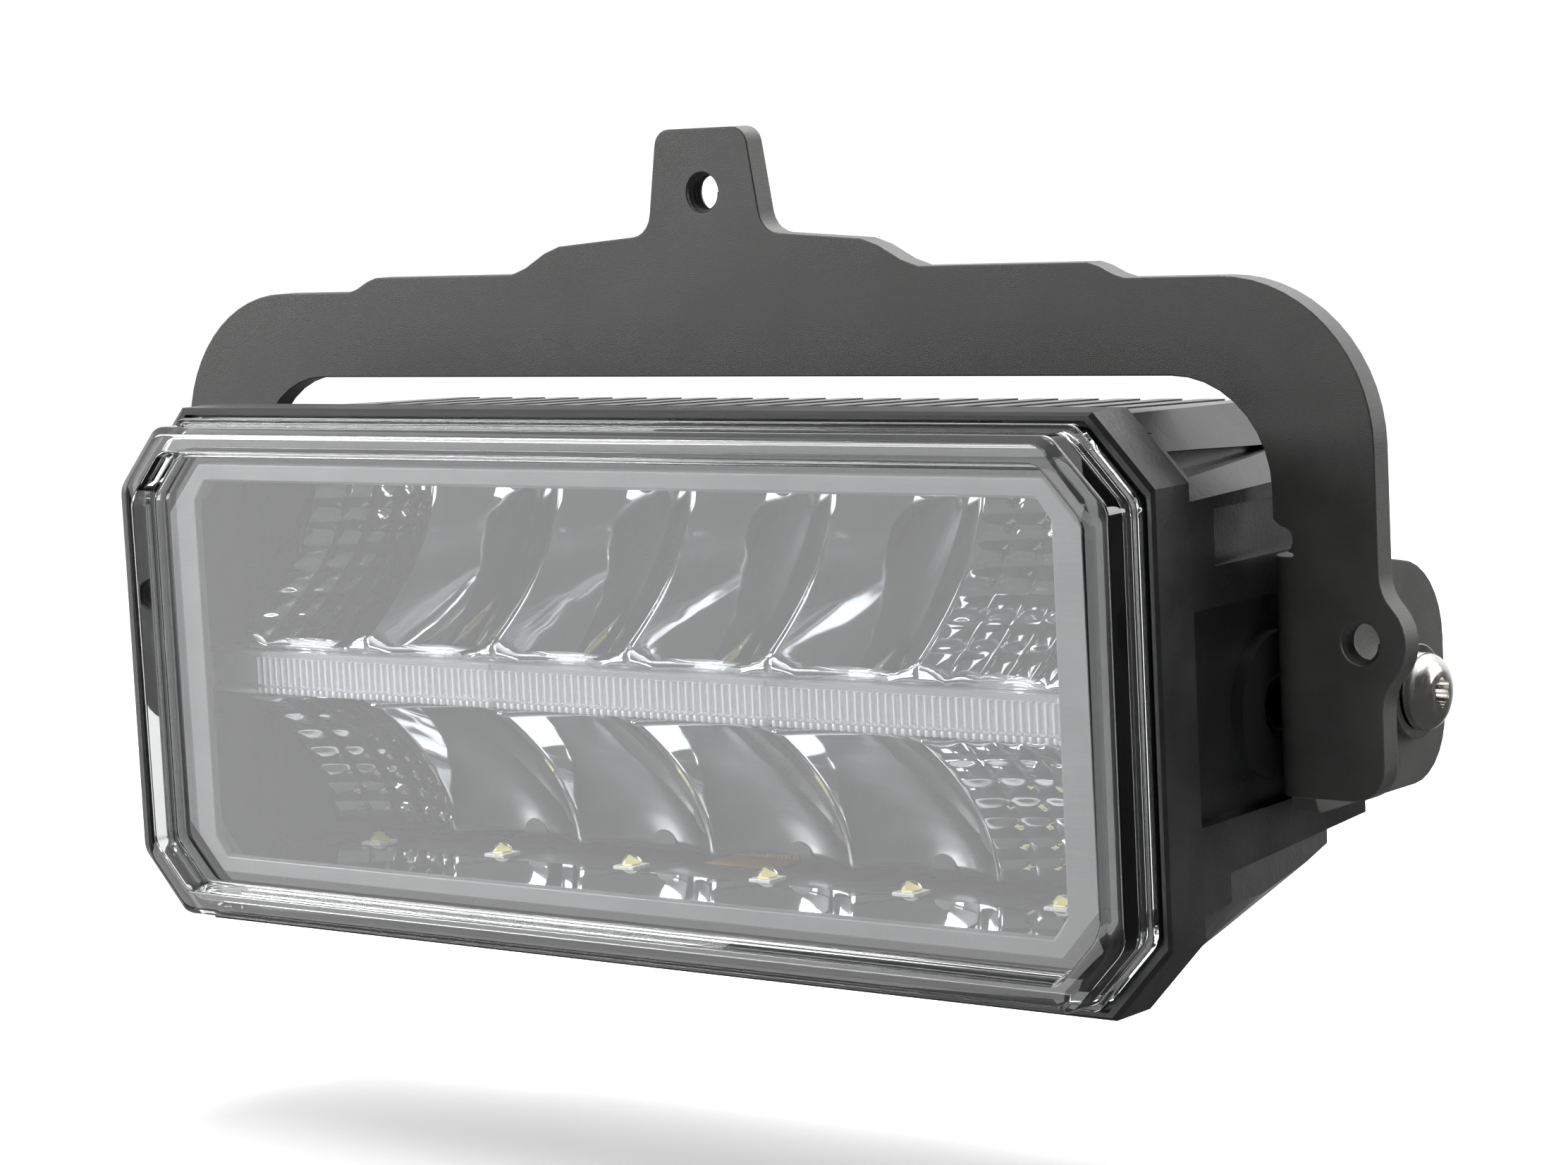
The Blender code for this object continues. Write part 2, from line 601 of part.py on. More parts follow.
def side_pockets():
    """Everything milled into the two sides: pad recess, pockets, corner notches."""
    cutters = bmesh.new()
    outside = COLLAR_HALF_W + 0.004
    rear = PIVOT_Y + 0.030
    top = COLLAR_HALF_H
    for side in (1, -1):
        pad = [(side * outside, PAD_FRONT), (side * outside, rear),
               (side * PAD_X, rear), (side * PAD_X, PAD_FRONT)]
        merge_into(cutters, prism(pad, "Z", PAD_BOTTOM, PAD_TOP))
        merge_into(cutters, side_wedge(side, top - 0.0285, top - 0.0185, 0.0325, 0.0045))
        merge_into(cutters, side_wedge(side, 0.0153 - top, 0.0228 - top, 0.0340, 0.0090, 0.0025))
        merge_into(cutters, corner_notch(side, top - 0.0130, top - 0.0085, 0.031))
        merge_into(cutters, corner_notch(side, top - 0.0055, top - 0.0020, 0.027))
        merge_into(cutters, corner_notch(side, 0.0050 - top, 0.0100 - top, 0.032))
    return cutters


def corner_notch(side, low, high, front):
    """Tapering notch across a cut corner, running out to the rear."""
    rear = BODY_REAR - 0.020
    mid = (low + high) / 2
    inner = CAVITY_HALF_W + 0.004
    outside = COLLAR_HALF_W + 0.004
    rings = [[(side * inner, front, low), (side * outside, front, low),
              (side * outside, front, high), (side * inner, front, high)],
             [(side * inner, rear, mid - 0.0004), (side * outside, rear, mid - 0.0004),
              (side * outside, rear, mid + 0.0004), (side * inner, rear, mid + 0.0004)]]
    return loft(rings)


def housing_cavity():
    """Seat for seal and flange, bezel mouth, and the optics chamber."""
    lip_w = FLANGE_HALF_W + LIP_CLEARANCE
    lip_h = FLANGE_HALF_H + LIP_CLEARANCE
    land = FLANGE_REAR + SEAL_T + 2 * GAP
    return loft([
        ring(lip_w, lip_h, COLLAR_FRONT - 0.004), ring(lip_w, lip_h, land),
        ring(MOUTH_HALF_W, MOUTH_HALF_H, land, MOUTH_TRIM),
        ring(MOUTH_HALF_W, MOUTH_HALF_H, CHAMBER_REAR, MOUTH_TRIM),
        ring(CAVITY_HALF_W, CAVITY_HALF_H, CHAMBER_REAR, CAVITY_TRIM),
        ring(CAVITY_HALF_W, CAVITY_HALF_H, CAVITY_REAR, CAVITY_TRIM),
    ])


def pivot_lugs():
    """Blocks behind the body's rear corners that hold the pivot inserts."""
    front = CAVITY_REAR + 0.003
    reach = sqrt(LUG_R ** 2 - (PIVOT_Y - BODY_REAR) ** 2)
    outline = [(front, PIVOT_Z - LUG_R - LUG_FLARE), (front, PIVOT_Z + LUG_R + LUG_FLARE),
               (BODY_REAR - 0.002, PIVOT_Z + reach + 0.002)]
    outline += arc((PIVOT_Y, PIVOT_Z), LUG_R, 75, -75, 10)
    outline += [(BODY_REAR - 0.002, PIVOT_Z - reach - 0.002)]
    lugs = bmesh.new()
    for side in (1, -1):
        start, end = sorted((side * (PAD_X - LUG_W), side * (PAD_X + LUG_SPARE)))
        merge_into(lugs, prism(outline, "X", start, end))
    return lugs


def make_housing(parent):
    housing = add_object("housing", housing_outer(), "satin_black", parent)
    cut(housing, pivot_lugs(), "pivot_lugs", "UNION")
    cut(housing, side_pockets(), "side_pockets")
    cut(housing, fin_slots(), "fin_slots")
    bosses = bmesh.new()
    inner = CAVITY_HALF_W + 0.003
    for side in (1, -1):
        start, end = sorted((side * inner, side * BOSS_X))
        boss = cylinder(BOSS_R, (0, BOSS_Y, BOSS_Z), "X", start, end, 32)
        merge_into(bosses, boss)
        start, end = sorted((side * inner, side * LUG_X))
        lug = cylinder(LUG_BOSS_R, (0, PIVOT_Y, PIVOT_Z), "X", start, end, 32)
        merge_into(bosses, lug)
    for x in (GLAND_X, VENT_X):
        pad = cylinder(PORT_PAD_R, (x, 0, 0), "Y", CAVITY_REAR + 0.002, BODY_REAR, 24)
        merge_into(bosses, pad)
    cut(housing, bosses, "bosses", "UNION")
    cut(housing, housing_cavity(), "cavity")
    bores = bmesh.new()
    for side in (1, -1):
        for centre, face in (((0, BOSS_Y, BOSS_Z), BOSS_X), ((0, PIVOT_Y, PIVOT_Z), LUG_X)):
            start, end = sorted((side * (face - INSERT_LEN - BORE_SPARE), side * (face + 0.006)))
            merge_into(bores, cylinder(INSERT_R + GAP, centre, "X", start, end, 24))
    for x, radius in ((GLAND_X, GLAND_R), (VENT_X, VENT_R)):
        stem = radius * STEM_SHARE + GAP
        bore = cylinder(stem, (x, 0, 0), "Y", CAVITY_REAR - 0.004, BODY_REAR + 0.004)
        merge_into(bores, bore)
    cut(housing, bores, "bores")
    return housing


# ---------------------------------------------------------------- optics
def cup_depth(x, z_from_led):
    """Station y of the parabolic cups at a point, the nearest cup's surface."""
    reach = (CUP_COUNT / 2 - 0.5) * CUP_PITCH
    index = min(CUP_COUNT - 1, max(0, round((x + reach) / CUP_PITCH)))
    dx = x + reach - index * CUP_PITCH
    apex = FOCUS_Y + FOCAL_LENGTH
    return apex - (dx * dx + z_from_led * z_from_led) / (4 * FOCAL_LENGTH)


def make_reflector(name, up, parent):
    """One moulding with a row of six quarter cups; a grid front and a grid back."""
    across, rows = 6, 8
    led_side = CUP_EDGE
    far_side = LED_Z - (UPPER_CUP_END if up else LOWER_CUP_END)
    bm = bmesh.new()
    sheets = []
    for thickness in (0.0, REFLECTOR_T):
        sheet = []
        for row in range(rows + 1):
            drop = led_side + (far_side - led_side) * row / rows
            z = LED_Z - drop if up else drop - LED_Z
            line = []
            for col in range(CUP_COUNT * across + 1):
                x = (col / across - CUP_COUNT / 2) * CUP_PITCH
                y = max(cup_depth(x, drop), REFLECTOR_FRONT) + thickness
                line.append(bm.verts.new((x, y, z)))
            sheet.append(line)
        sheets.append(sheet)
    cols = CUP_COUNT * across
    for sheet in sheets:
        for r in range(rows):
            for c in range(cols):
                bm.faces.new((sheet[r][c], sheet[r][c + 1], sheet[r + 1][c + 1], sheet[r + 1][c]))
    front, back = sheets
    for c in range(cols):
        bm.faces.new((front[0][c], front[0][c + 1], back[0][c + 1], back[0][c]))
        bm.faces.new((front[rows][c], front[rows][c + 1], back[rows][c + 1], back[rows][c]))
    for r in range(rows):
        bm.faces.new((front[r][0], front[r + 1][0], back[r + 1][0], back[r][0]))
        bm.faces.new((front[r][cols], front[r + 1][cols], back[r + 1][cols], back[r][cols]))
    return add_object(name, bm, "mirror", parent)


def make_bezel(parent):
    """Thin frame with a window and a skirt that stands in the housing mouth."""
    outer_w = MOUTH_HALF_W - BEZEL_CLEARANCE
    outer_h = MOUTH_HALF_H - BEZEL_CLEARANCE
    plate_rear = BEZEL_FRONT + BEZEL_T
    rings = [
        ring(outer_w, outer_h, BEZEL_FRONT, MOUTH_TRIM),
        ring(outer_w, outer_h, BEZEL_REAR, MOUTH_TRIM),
        ring(outer_w - BEZEL_T, outer_h - BEZEL_T, BEZEL_REAR, MOUTH_TRIM),
        ring(outer_w - BEZEL_T, outer_h - BEZEL_T, plate_rear, MOUTH_TRIM),
        ring(WINDOW_HALF_W - 0.0005, WINDOW_HALF_H - 0.0005, plate_rear, WINDOW_TRIM),
        ring(WINDOW_HALF_W, WINDOW_HALF_H, BEZEL_FRONT, WINDOW_TRIM),
    ]
    return add_object("bezel", loft(rings, closed=True), "bezel", parent)


def make_light_guides(parent):
    """Three clear bars end to end across the middle, their carrier and board."""
    rear = GUIDE_FRONT + GUIDE_DEPTH
    low, high = GUIDE_Z - GUIDE_H / 2, GUIDE_Z + GUIDE_H / 2
    spans = {"light_guide_left": (-GUIDE_END, -GUIDE_JOINT),
             "light_guide_centre": (-GUIDE_JOINT, GUIDE_JOINT),
             "light_guide_right": (GUIDE_JOINT, GUIDE_END)}
    lip = 0.0016
    outline = [(GUIDE_FRONT, low + lip), (GUIDE_FRONT - 0.0003, high - lip),
               (GUIDE_FRONT + 0.0012, high), (rear, high), (rear, low),
               (GUIDE_FRONT + 0.0006, low)]
    for name, (start, end) in spans.items():
        bm = prism(outline, "X", start + GAP / 2, end - GAP / 2)
        add_object(name, bm, "clear", parent)
    front, back = rear + GAP, rear + GAP + CARRIER_T
    carrier = box((-GUIDE_END, front, low), (GUIDE_END, back, high))
    add_object("light_guide_carrier", carrier, "plastic", parent)
    front, back = back + GAP, back + GAP + GUIDE_BOARD_T
    inset = 0.001
    board = box((-GUIDE_END, front, low + inset), (GUIDE_END, back, high - inset))
    add_object("position_light_board", board, "board", parent)


def make_led(name, x, sign, parent):
    """Ceramic base with a clear dome, standing on its board."""
    foot = sign * LED_FOOT
    top = foot - sign * LED_BASE_T
    half = LED_BASE / 2
    square = [(x - half, FOCUS_Y - half), (x + half, FOCUS_Y - half),
              (x + half, FOCUS_Y + half), (x - half, FOCUS_Y + half)]
    led = add_object(name, prism(square, "Z", *sorted((foot, top))), "led", parent)
    profile = [(LED_DOME_R, top + sign * LED_CHIP)]
    profile += [(LED_DOME_R * cos(radians(a)), top - sign * LED_DOME_R * sin(radians(a)))
                for a in (0, 30, 60, 85)]
    dome = loft(turned(profile, (x, FOCUS_Y, 0), "Z", 12))
    cut(led, dome, "dome", "UNION")
    return led


def make_boards(parent):
    """LED boards, their LEDs and the mirrored strips in front of the LEDs."""
    reach = (CUP_COUNT / 2 - 0.5) * CUP_PITCH
    half = CUP_COUNT / 2 * CUP_PITCH - BOARD_MARGIN
    for row, sign in (("upper", 1), ("lower", -1)):
        foot = LED_FOOT + GAP
        low, high = sorted((sign * foot, sign * (foot + BOARD_T)))
        add_object("led_board_" + row, box((-half, BOARD_FRONT, low), (half, BOARD_REAR, high)),
                   "board", parent)
        for i in range(CUP_COUNT):
            make_led("led_%s_%d" % (row, i + 1), i * CUP_PITCH - reach, sign, parent)
        low, high = sorted((sign * (foot - GAP), sign * (foot - GAP - STRIP_T)))
        front = BEZEL_FRONT + BEZEL_T + GAP
        strip = box((-half, front, low), (half, FOCUS_Y - LED_BASE, high))
        add_object("mirror_strip_" + row, strip, "mirror", parent)
        make_ribbon(row, sign, parent)


def make_ribbon(row, sign, parent):
    """Flat cable from the rear edge of an LED board to the edge of the driver board."""
    start = BOARD_REAR + GAP
    level = LED_FOOT + GAP
    turn = DRIVER_Y + BOARD_T / 2
    end = DRIVER_HALF_H + GAP
    outline = [(start, level), (start, level + RIBBON_T), (turn + RIBBON_T, level + RIBBON_T),
               (turn + RIBBON_T, end), (turn, end), (turn, level)]
    outline = [(y, sign * z) for y, z in outline]
    ribbon = prism(outline, "X", -RIBBON_HALF_W, RIBBON_HALF_W)
    add_object("ribbon_" + row, ribbon, "board", parent)


# ---------------------------------------------------------------- electronics
def make_electronics(parent):
    rear = DRIVER_Y + BOARD_T
    add_object("driver_board", box((-DRIVER_HALF_W, DRIVER_Y, -DRIVER_HALF_H),
                                   (DRIVER_HALF_W, rear, DRIVER_HALF_H)),
               "board_green", parent)
    base = rear + GAP
    add_object("driver_inductor", box((-0.052, base, -0.007), (-0.038, base + 0.005, 0.007)),
               "plastic", parent)
    capacitor = cylinder(0.0045, (0.005, 0, 0.010), "Y", base, base + 0.0052, 20)
    smooth(add_object("driver_capacitor", capacitor, "zinc", parent))
    add_object("driver_connector", box((0.020, base, -0.018), (0.034, base + 0.0045, -0.011)),
               "plastic", parent)


def hex_nut(radius, bore, x, start, end):
    """Hexagon outside, round bore inside, along Y through height zero."""
    rings = []
    for hexagonal, along in ((True, start), (True, end), (False, end), (False, start)):
        points = []
        for i in range(24):
            a = 360 * i / 24
            flat = cos(radians(30)) / cos(radians(a % 60 - 30))
            r = radius * flat if hexagonal else bore
            points.append((x + r * cos(radians(a)), along, r * sin(radians(a))))
        rings.append(points)
    return loft(rings, closed=True)


def make_rear_fittings(parent):
    """Cable gland with its clamping nut, and the pressure vent, on the rear."""
    start = CAVITY_REAR + 0.001
    face = BODY_REAR + GAP
    stem = GLAND_R * STEM_SHARE
    neck = stem * 0.9
    flange, tip = face + 0.0045, face + 0.011
    profile = [(stem, start), (stem, face), (GLAND_R, face), (GLAND_R, flange), (neck, flange),
               (neck, tip), (GLAND_BORE_R, tip), (GLAND_BORE_R, start)]
    gland = loft(turned(profile, (GLAND_X, 0, 0), "Y", 24), closed=True)
    smooth(add_object("cable_gland", gland, "plastic", parent))
    nut = hex_nut(GLAND_R, neck + GAP, GLAND_X, flange + GAP, tip + 0.0015)
    add_object("gland_nut", nut, "plastic", parent)
    stem = VENT_R * STEM_SHARE
    profile = [(stem, start), (stem, face), (VENT_R, face), (VENT_R, face + 0.0022),
               (VENT_R * 0.86, face + 0.0032)]
    vent = loft(turned(profile, (VENT_X, 0, 0), "Y", 24))
    smooth(add_object("vent_plug", vent, "plastic", parent))


# ---------------------------------------------------------------- pivot hardware
def make_pivot(side, lamp):
    """Threaded inserts, friction disc, washer and button-head screw of one side."""
    name = "right" if side > 0 else "left"
    centre = (0, PIVOT_Y, PIVOT_Z)

    def span(near, far):
        return sorted((side * near, side * far))

    for label, place, face in (("boss_insert_", (0, BOSS_Y, BOSS_Z), BOSS_X),
                               ("pivot_insert_", centre, LUG_X)):
        start, end = span(face - INSERT_LEN, face - GAP)
        bm = tube(INSERT_R, M8_BORE_R, place, "X", start, end, 24)
        smooth(add_object(label + name, bm, "zinc", lamp))
    start, end = span(LUG_X + GAP, LUG_X + GAP + FRICTION_T)
    bm = tube(FRICTION_R, SCREW_R + GAP, centre, "X", start, end, 32)
    smooth(add_object("friction_disc_" + name, bm, "friction", lamp))
    ear_face = EAR_INNER + PLATE_T
    start, end = span(ear_face + GAP, ear_face + GAP + WASHER_T)
    bm = tube(WASHER_R, SCREW_R + GAP, centre, "X", start, end, 32)
    smooth(add_object("pivot_washer_" + name, bm, "stainless", lamp))
    seat = ear_face + WASHER_T + 2 * GAP
    profile = [(SCREW_R, seat - SCREW_LEN), (SCREW_R, seat), (HEAD_R, seat),
               (HEAD_R, seat + HEAD_H * 0.22), (HEAD_R * 0.90, seat + HEAD_H * 0.60),
               (HEAD_R * 0.66, seat + HEAD_H * 0.90), (HEAD_R * 0.45, seat + HEAD_H)]
    profile = [(radius, side * along) for radius, along in profile]
    screw = loft(turned(profile, centre, "X", 24))
    screw = smooth(add_object("pivot_screw_" + name, screw, "stainless", lamp))
    start, end = span(seat + HEAD_H * 0.45, seat + HEAD_H + 0.001)
    cut(screw, cylinder(HEAD_R * 0.40, centre, "X", start, end, 6), "recess")


def main():
    clear_scene()
    bracket = add_empty("bracket_frame", (0, 0, 0))
    lamp = add_empty("lamp_pivot", PIVOT)
    make_arch(bracket)
    make_housing(lamp)
    make_lens(lamp)
    make_seal(lamp)
    make_bezel(lamp)
    make_reflector("reflector_upper", True, lamp)
    make_reflector("reflector_lower", False, lamp)
    make_light_guides(lamp)
    make_boards(lamp)
    make_electronics(lamp)
    make_rear_fittings(lamp)
    for side in (1, -1):
        make_pivot(side, lamp)


main()
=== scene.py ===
"""LED fog lamp in an arch bracket: looks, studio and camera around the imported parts.

Lengths are in metres.  "Stations" are the lamp's own coordinates: y is measured back
from the lens rim, z from the lens mid height.  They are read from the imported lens.
"""

import json
from math import atan2, cos, pi, radians, sin

import bmesh
import bpy
from mathutils import Matrix, Vector

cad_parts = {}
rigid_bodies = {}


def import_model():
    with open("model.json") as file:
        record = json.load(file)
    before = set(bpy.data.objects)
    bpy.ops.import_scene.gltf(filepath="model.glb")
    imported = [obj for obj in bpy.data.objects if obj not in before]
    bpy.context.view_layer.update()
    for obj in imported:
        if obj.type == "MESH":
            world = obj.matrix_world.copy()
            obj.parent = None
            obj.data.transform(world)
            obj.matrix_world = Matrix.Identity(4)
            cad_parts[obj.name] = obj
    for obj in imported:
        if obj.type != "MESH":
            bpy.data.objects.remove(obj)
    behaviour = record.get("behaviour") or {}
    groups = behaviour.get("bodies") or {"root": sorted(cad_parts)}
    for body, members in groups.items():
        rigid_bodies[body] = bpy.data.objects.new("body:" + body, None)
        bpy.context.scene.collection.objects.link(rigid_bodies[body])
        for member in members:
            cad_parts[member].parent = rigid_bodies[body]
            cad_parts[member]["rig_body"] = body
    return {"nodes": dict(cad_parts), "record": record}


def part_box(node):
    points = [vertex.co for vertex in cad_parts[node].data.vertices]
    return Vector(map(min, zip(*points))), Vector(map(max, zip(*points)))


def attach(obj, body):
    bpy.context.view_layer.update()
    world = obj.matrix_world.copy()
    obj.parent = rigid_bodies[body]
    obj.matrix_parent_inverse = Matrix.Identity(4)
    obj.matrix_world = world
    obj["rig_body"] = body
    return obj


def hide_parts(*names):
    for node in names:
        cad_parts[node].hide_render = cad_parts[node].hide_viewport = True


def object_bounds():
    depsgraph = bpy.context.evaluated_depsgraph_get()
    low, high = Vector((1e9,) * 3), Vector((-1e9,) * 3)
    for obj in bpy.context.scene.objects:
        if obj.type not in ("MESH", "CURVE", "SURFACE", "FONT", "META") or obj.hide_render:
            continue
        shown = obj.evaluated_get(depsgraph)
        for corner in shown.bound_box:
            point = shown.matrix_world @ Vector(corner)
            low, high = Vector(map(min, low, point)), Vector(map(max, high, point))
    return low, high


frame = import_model()
cad_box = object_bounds()
nodes = frame["nodes"]
BRACKET, LAMP = "bracket", "lamp"

LENS_LOW, LENS_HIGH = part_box("lens")
STATION = Vector((0.0, LENS_LOW.y, (LENS_LOW.z + LENS_HIGH.z) / 2))


def station_box(node):
    """Lowest and highest corner of a node, in stations."""
    low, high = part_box(node)
    return low - STATION, high - STATION


# ------------------------------------------------------------------ material kit
MIX_FACTOR, MIX_FROM, MIX_TO, MIX_RESULT = 0, 6, 7, 2   # colour sockets of a Mix node


class Finish:
    """One procedural finish: a Principled shader fed by object-space patterns."""

    def __init__(self, name, colour, roughness, metallic=0.0, specular=0.5):
        self.material = bpy.data.materials.new(name)
        self.material.use_nodes = True
        self.tree = self.material.node_tree
        self.shader = self.tree.nodes["Principled BSDF"]
        self.colour = colour
        self.roughness = roughness
        self.shader.inputs["Base Color"].default_value = (*colour, 1.0)
        self.shader.inputs["Roughness"].default_value = roughness
        self.shader.inputs["Metallic"].default_value = metallic
        self.shader.inputs["Specular IOR Level"].default_value = specular
        self.coordinates = self.add("ShaderNodeTexCoord").outputs["Object"]
        self.normal = None

    def add(self, kind, **settings):
        node = self.tree.nodes.new(kind)
        for key, value in settings.items():
            setattr(node, key, value)
        return node

    def link(self, source, target):
        self.tree.links.new(source, target)

    def stretched(self, scale):
        """Object coordinates scaled by axis, for grain that runs one way."""
        mapping = self.add("ShaderNodeMapping")
        mapping.inputs["Scale"].default_value = scale
        self.link(self.coordinates, mapping.inputs["Vector"])
        return mapping.outputs["Vector"]

    def noise(self, scale, detail=4.0, vector=None):
        node = self.add("ShaderNodeTexNoise")
        node.inputs["Scale"].default_value = scale
        node.inputs["Detail"].default_value = detail
        self.link(vector or self.coordinates, node.inputs["Vector"])
        return node.outputs["Fac"]

    def ramp(self, source, low, high, start=0.35, end=0.65):
        """Map a pattern to a range of values."""
        node = self.add("ShaderNodeMapRange")
        node.inputs["From Min"].default_value = start
        node.inputs["From Max"].default_value = end
        node.inputs["To Min"].default_value = low
        node.inputs["To Max"].default_value = high
        self.link(source, node.inputs["Value"])
        return node.outputs["Result"]

    def tint(self, source, colour, start=0.35, end=0.65):
        """Vary the base colour towards another one."""
        mix = self.add("ShaderNodeMix", data_type="RGBA")
        mix.inputs[MIX_FROM].default_value = (*self.colour, 1.0)
        mix.inputs[MIX_TO].default_value = (*colour, 1.0)
        self.link(self.ramp(source, 0.0, 1.0, start, end), mix.inputs[MIX_FACTOR])
        self.link(mix.outputs[MIX_RESULT], self.shader.inputs["Base Color"])
        return self

    def vary_roughness(self, source, spread):
        low, high = self.roughness - spread, self.roughness + spread
        self.link(self.ramp(source, low, high), self.shader.inputs["Roughness"])
        return self

    def bump(self, source, height, strength=1.0):
        """Add a height pattern, in metres, on top of the ones before."""
        node = self.add("ShaderNodeBump")
        node.inputs["Distance"].default_value = height
        node.inputs["Strength"].default_value = strength
        self.link(source, node.inputs["Height"])
        if self.normal:
            self.link(self.normal, node.inputs["Normal"])
        self.normal = node.outputs["Normal"]
        self.link(self.normal, self.shader.inputs["Normal"])
        return self

    def set(self, socket, value):
        self.shader.inputs[socket].default_value = value
        return self

    def lets_light_through(self):
        """Clear wall: lamps reach what is behind it."""
        output = next(n for n in self.tree.nodes if n.type == "OUTPUT_MATERIAL")
        mix = self.add("ShaderNodeMixShader")
        path = self.add("ShaderNodeLightPath")
        open_air = self.add("ShaderNodeBsdfTransparent")
        self.link(path.outputs["Is Shadow Ray"], mix.inputs[0])
        self.link(self.shader.outputs[0], mix.inputs[1])
        self.link(open_air.outputs[0], mix.inputs[2])
        self.link(mix.outputs[0], output.inputs["Surface"])
        return self


def make_powder_coat():
    """Fine-textured black powder coat on the bracket plate."""
    finish = Finish("bracket_powder_coat", (0.024, 0.0248, 0.0230), 0.45)
    fine = finish.noise(5200, 3.0)
    cloud = finish.noise(70, 3.0)
    finish.tint(cloud, (0.034, 0.0348, 0.0325))
    finish.vary_roughness(cloud, 0.05)
    finish.bump(fine, 0.00007)
    return finish.material


def make_cast_black():
    """Satin black coat over die-cast aluminium, with a faint orange peel."""
    finish = Finish("housing_satin_black", (0.009, 0.0092, 0.0094), 0.33)
    peel = finish.noise(1500, 2.0)
    cloud = finish.noise(45, 4.0)
    finish.tint(cloud, (0.014, 0.0142, 0.0145))
    finish.vary_roughness(cloud, 0.06)
    finish.bump(peel, 0.00003)
    finish.bump(finish.noise(160, 2.0), 0.00008)
    return finish.material


def make_clear_lens():
    """Hard-coated clear polycarbonate."""
    finish = Finish("clear_lens", (0.965, 0.975, 0.98), 0.015)
    finish.set("Transmission Weight", 1.0).set("IOR", 1.56)
    finish.bump(finish.noise(28, 1.0), 0.00001)
    finish.vary_roughness(finish.noise(300, 2.0), 0.008)
    return finish.lets_light_through().material


def make_seal_rubber():
    finish = Finish("seal_rubber", (0.012, 0.012, 0.012), 0.72)
    finish.bump(finish.noise(3000, 3.0), 0.00006)
    finish.vary_roughness(finish.noise(220, 2.0), 0.06)
    return finish.material


def make_bezel_plastic():
    """Dark grey moulding with a faint drawn grain along the frame."""
    finish = Finish("bezel_plastic", (0.090, 0.091, 0.094), 0.42)
    grain = finish.noise(900, 3.0, finish.stretched((0.05, 1.0, 1.0)))
    finish.tint(finish.noise(60, 3.0), (0.12, 0.12, 0.123))
    finish.vary_roughness(grain, 0.06)
    finish.bump(grain, 0.00005)
    return finish.material


def make_mirror():
    """Vacuum-metallised moulding: near mirror with a little ripple."""
    finish = Finish("aluminised_reflector", (0.74, 0.75, 0.76), 0.045, metallic=1.0)
    finish.bump(finish.noise(55, 2.0), 0.00012)
    finish.vary_roughness(finish.noise(90, 3.0), 0.02)
    return finish.material


def make_acrylic(name="light_guide_acrylic", colour=(0.90, 0.91, 0.93), roughness=0.05,
                 clarity=0.92):
    """Clear acrylic of the light bars."""
    finish = Finish(name, colour, roughness)
    finish.set("Transmission Weight", clarity).set("IOR", 1.49)
    finish.bump(finish.noise(400, 2.0), 0.00002)
    finish.vary_roughness(finish.noise(150, 2.0), 0.02)
    return finish.lets_light_through().material


def make_board(name, colour, trace):
    """Solder mask with a faint pattern of tracks under it."""
    finish = Finish(name, colour, 0.38)
    wave = finish.add("ShaderNodeTexWave", wave_type="BANDS", bands_direction="X")
    wave.inputs["Scale"].default_value = 130
    wave.inputs["Distortion"].default_value = 1.5
    finish.link(finish.coordinates, wave.inputs["Vector"])
    finish.tint(wave.outputs["Fac"], trace, 0.80, 0.90)
    finish.bump(wave.outputs["Fac"], 0.00003)
    finish.vary_roughness(finish.noise(200), 0.05)
    return finish.material


def make_phosphor():
    finish = Finish("led_phosphor", (0.86, 0.76, 0.26), 0.5)
    finish.tint(finish.noise(2500), (0.90, 0.82, 0.36))
    finish.bump(finish.noise(6000), 0.00002)
    return finish.material


def make_ceramic():
    finish = Finish("led_package", (0.86, 0.85, 0.82), 0.30)
    finish.tint(finish.noise(1500), (0.62, 0.61, 0.58))
    finish.bump(finish.noise(4000), 0.00001)
    return finish.material


def make_black_plastic():
    finish = Finish("black_plastic", (0.018, 0.018, 0.019), 0.45)
    finish.bump(finish.noise(2600, 3.0), 0.00004)
    finish.vary_roughness(finish.noise(120), 0.06)
    return finish.material


def make_stainless():
    """Bright stainless steel with fine turning marks."""
    finish = Finish("stainless_steel", (0.80, 0.79, 0.77), 0.16, metallic=1.0)
    marks = finish.noise(2600, 2.0, finish.stretched((1.0, 0.12, 0.12)))
    finish.vary_roughness(marks, 0.07)
    finish.bump(marks, 0.00002)
    finish.tint(finish.noise(300), (0.72, 0.71, 0.69))
    return finish.material


def make_plated(name, colour, roughness=0.25):
    finish = Finish(name, colour, roughness, metallic=1.0)
    finish.vary_roughness(finish.noise(500), 0.08)
    finish.bump(finish.noise(1800), 0.00002)
    return finish.material


def make_fibre():
    finish = Finish("friction_fibre", (0.030, 0.029, 0.028), 0.8)
    finish.tint(finish.noise(1800, 4.0), (0.06, 0.058, 0.055))
    finish.bump(finish.noise(2400, 4.0), 0.00008)
    return finish.material


def make_ribbon():
    finish = Finish("ribbon_cable", (0.55, 0.33, 0.07), 0.35)
    wave = finish.add("ShaderNodeTexWave", wave_type="BANDS", bands_direction="X")
    wave.inputs["Scale"].default_value = 320
    finish.link(finish.coordinates, wave.inputs["Vector"])
    finish.tint(wave.outputs["Fac"], (0.38, 0.20, 0.04))
    finish.bump(wave.outputs["Fac"], 0.00004)
    return finish.material


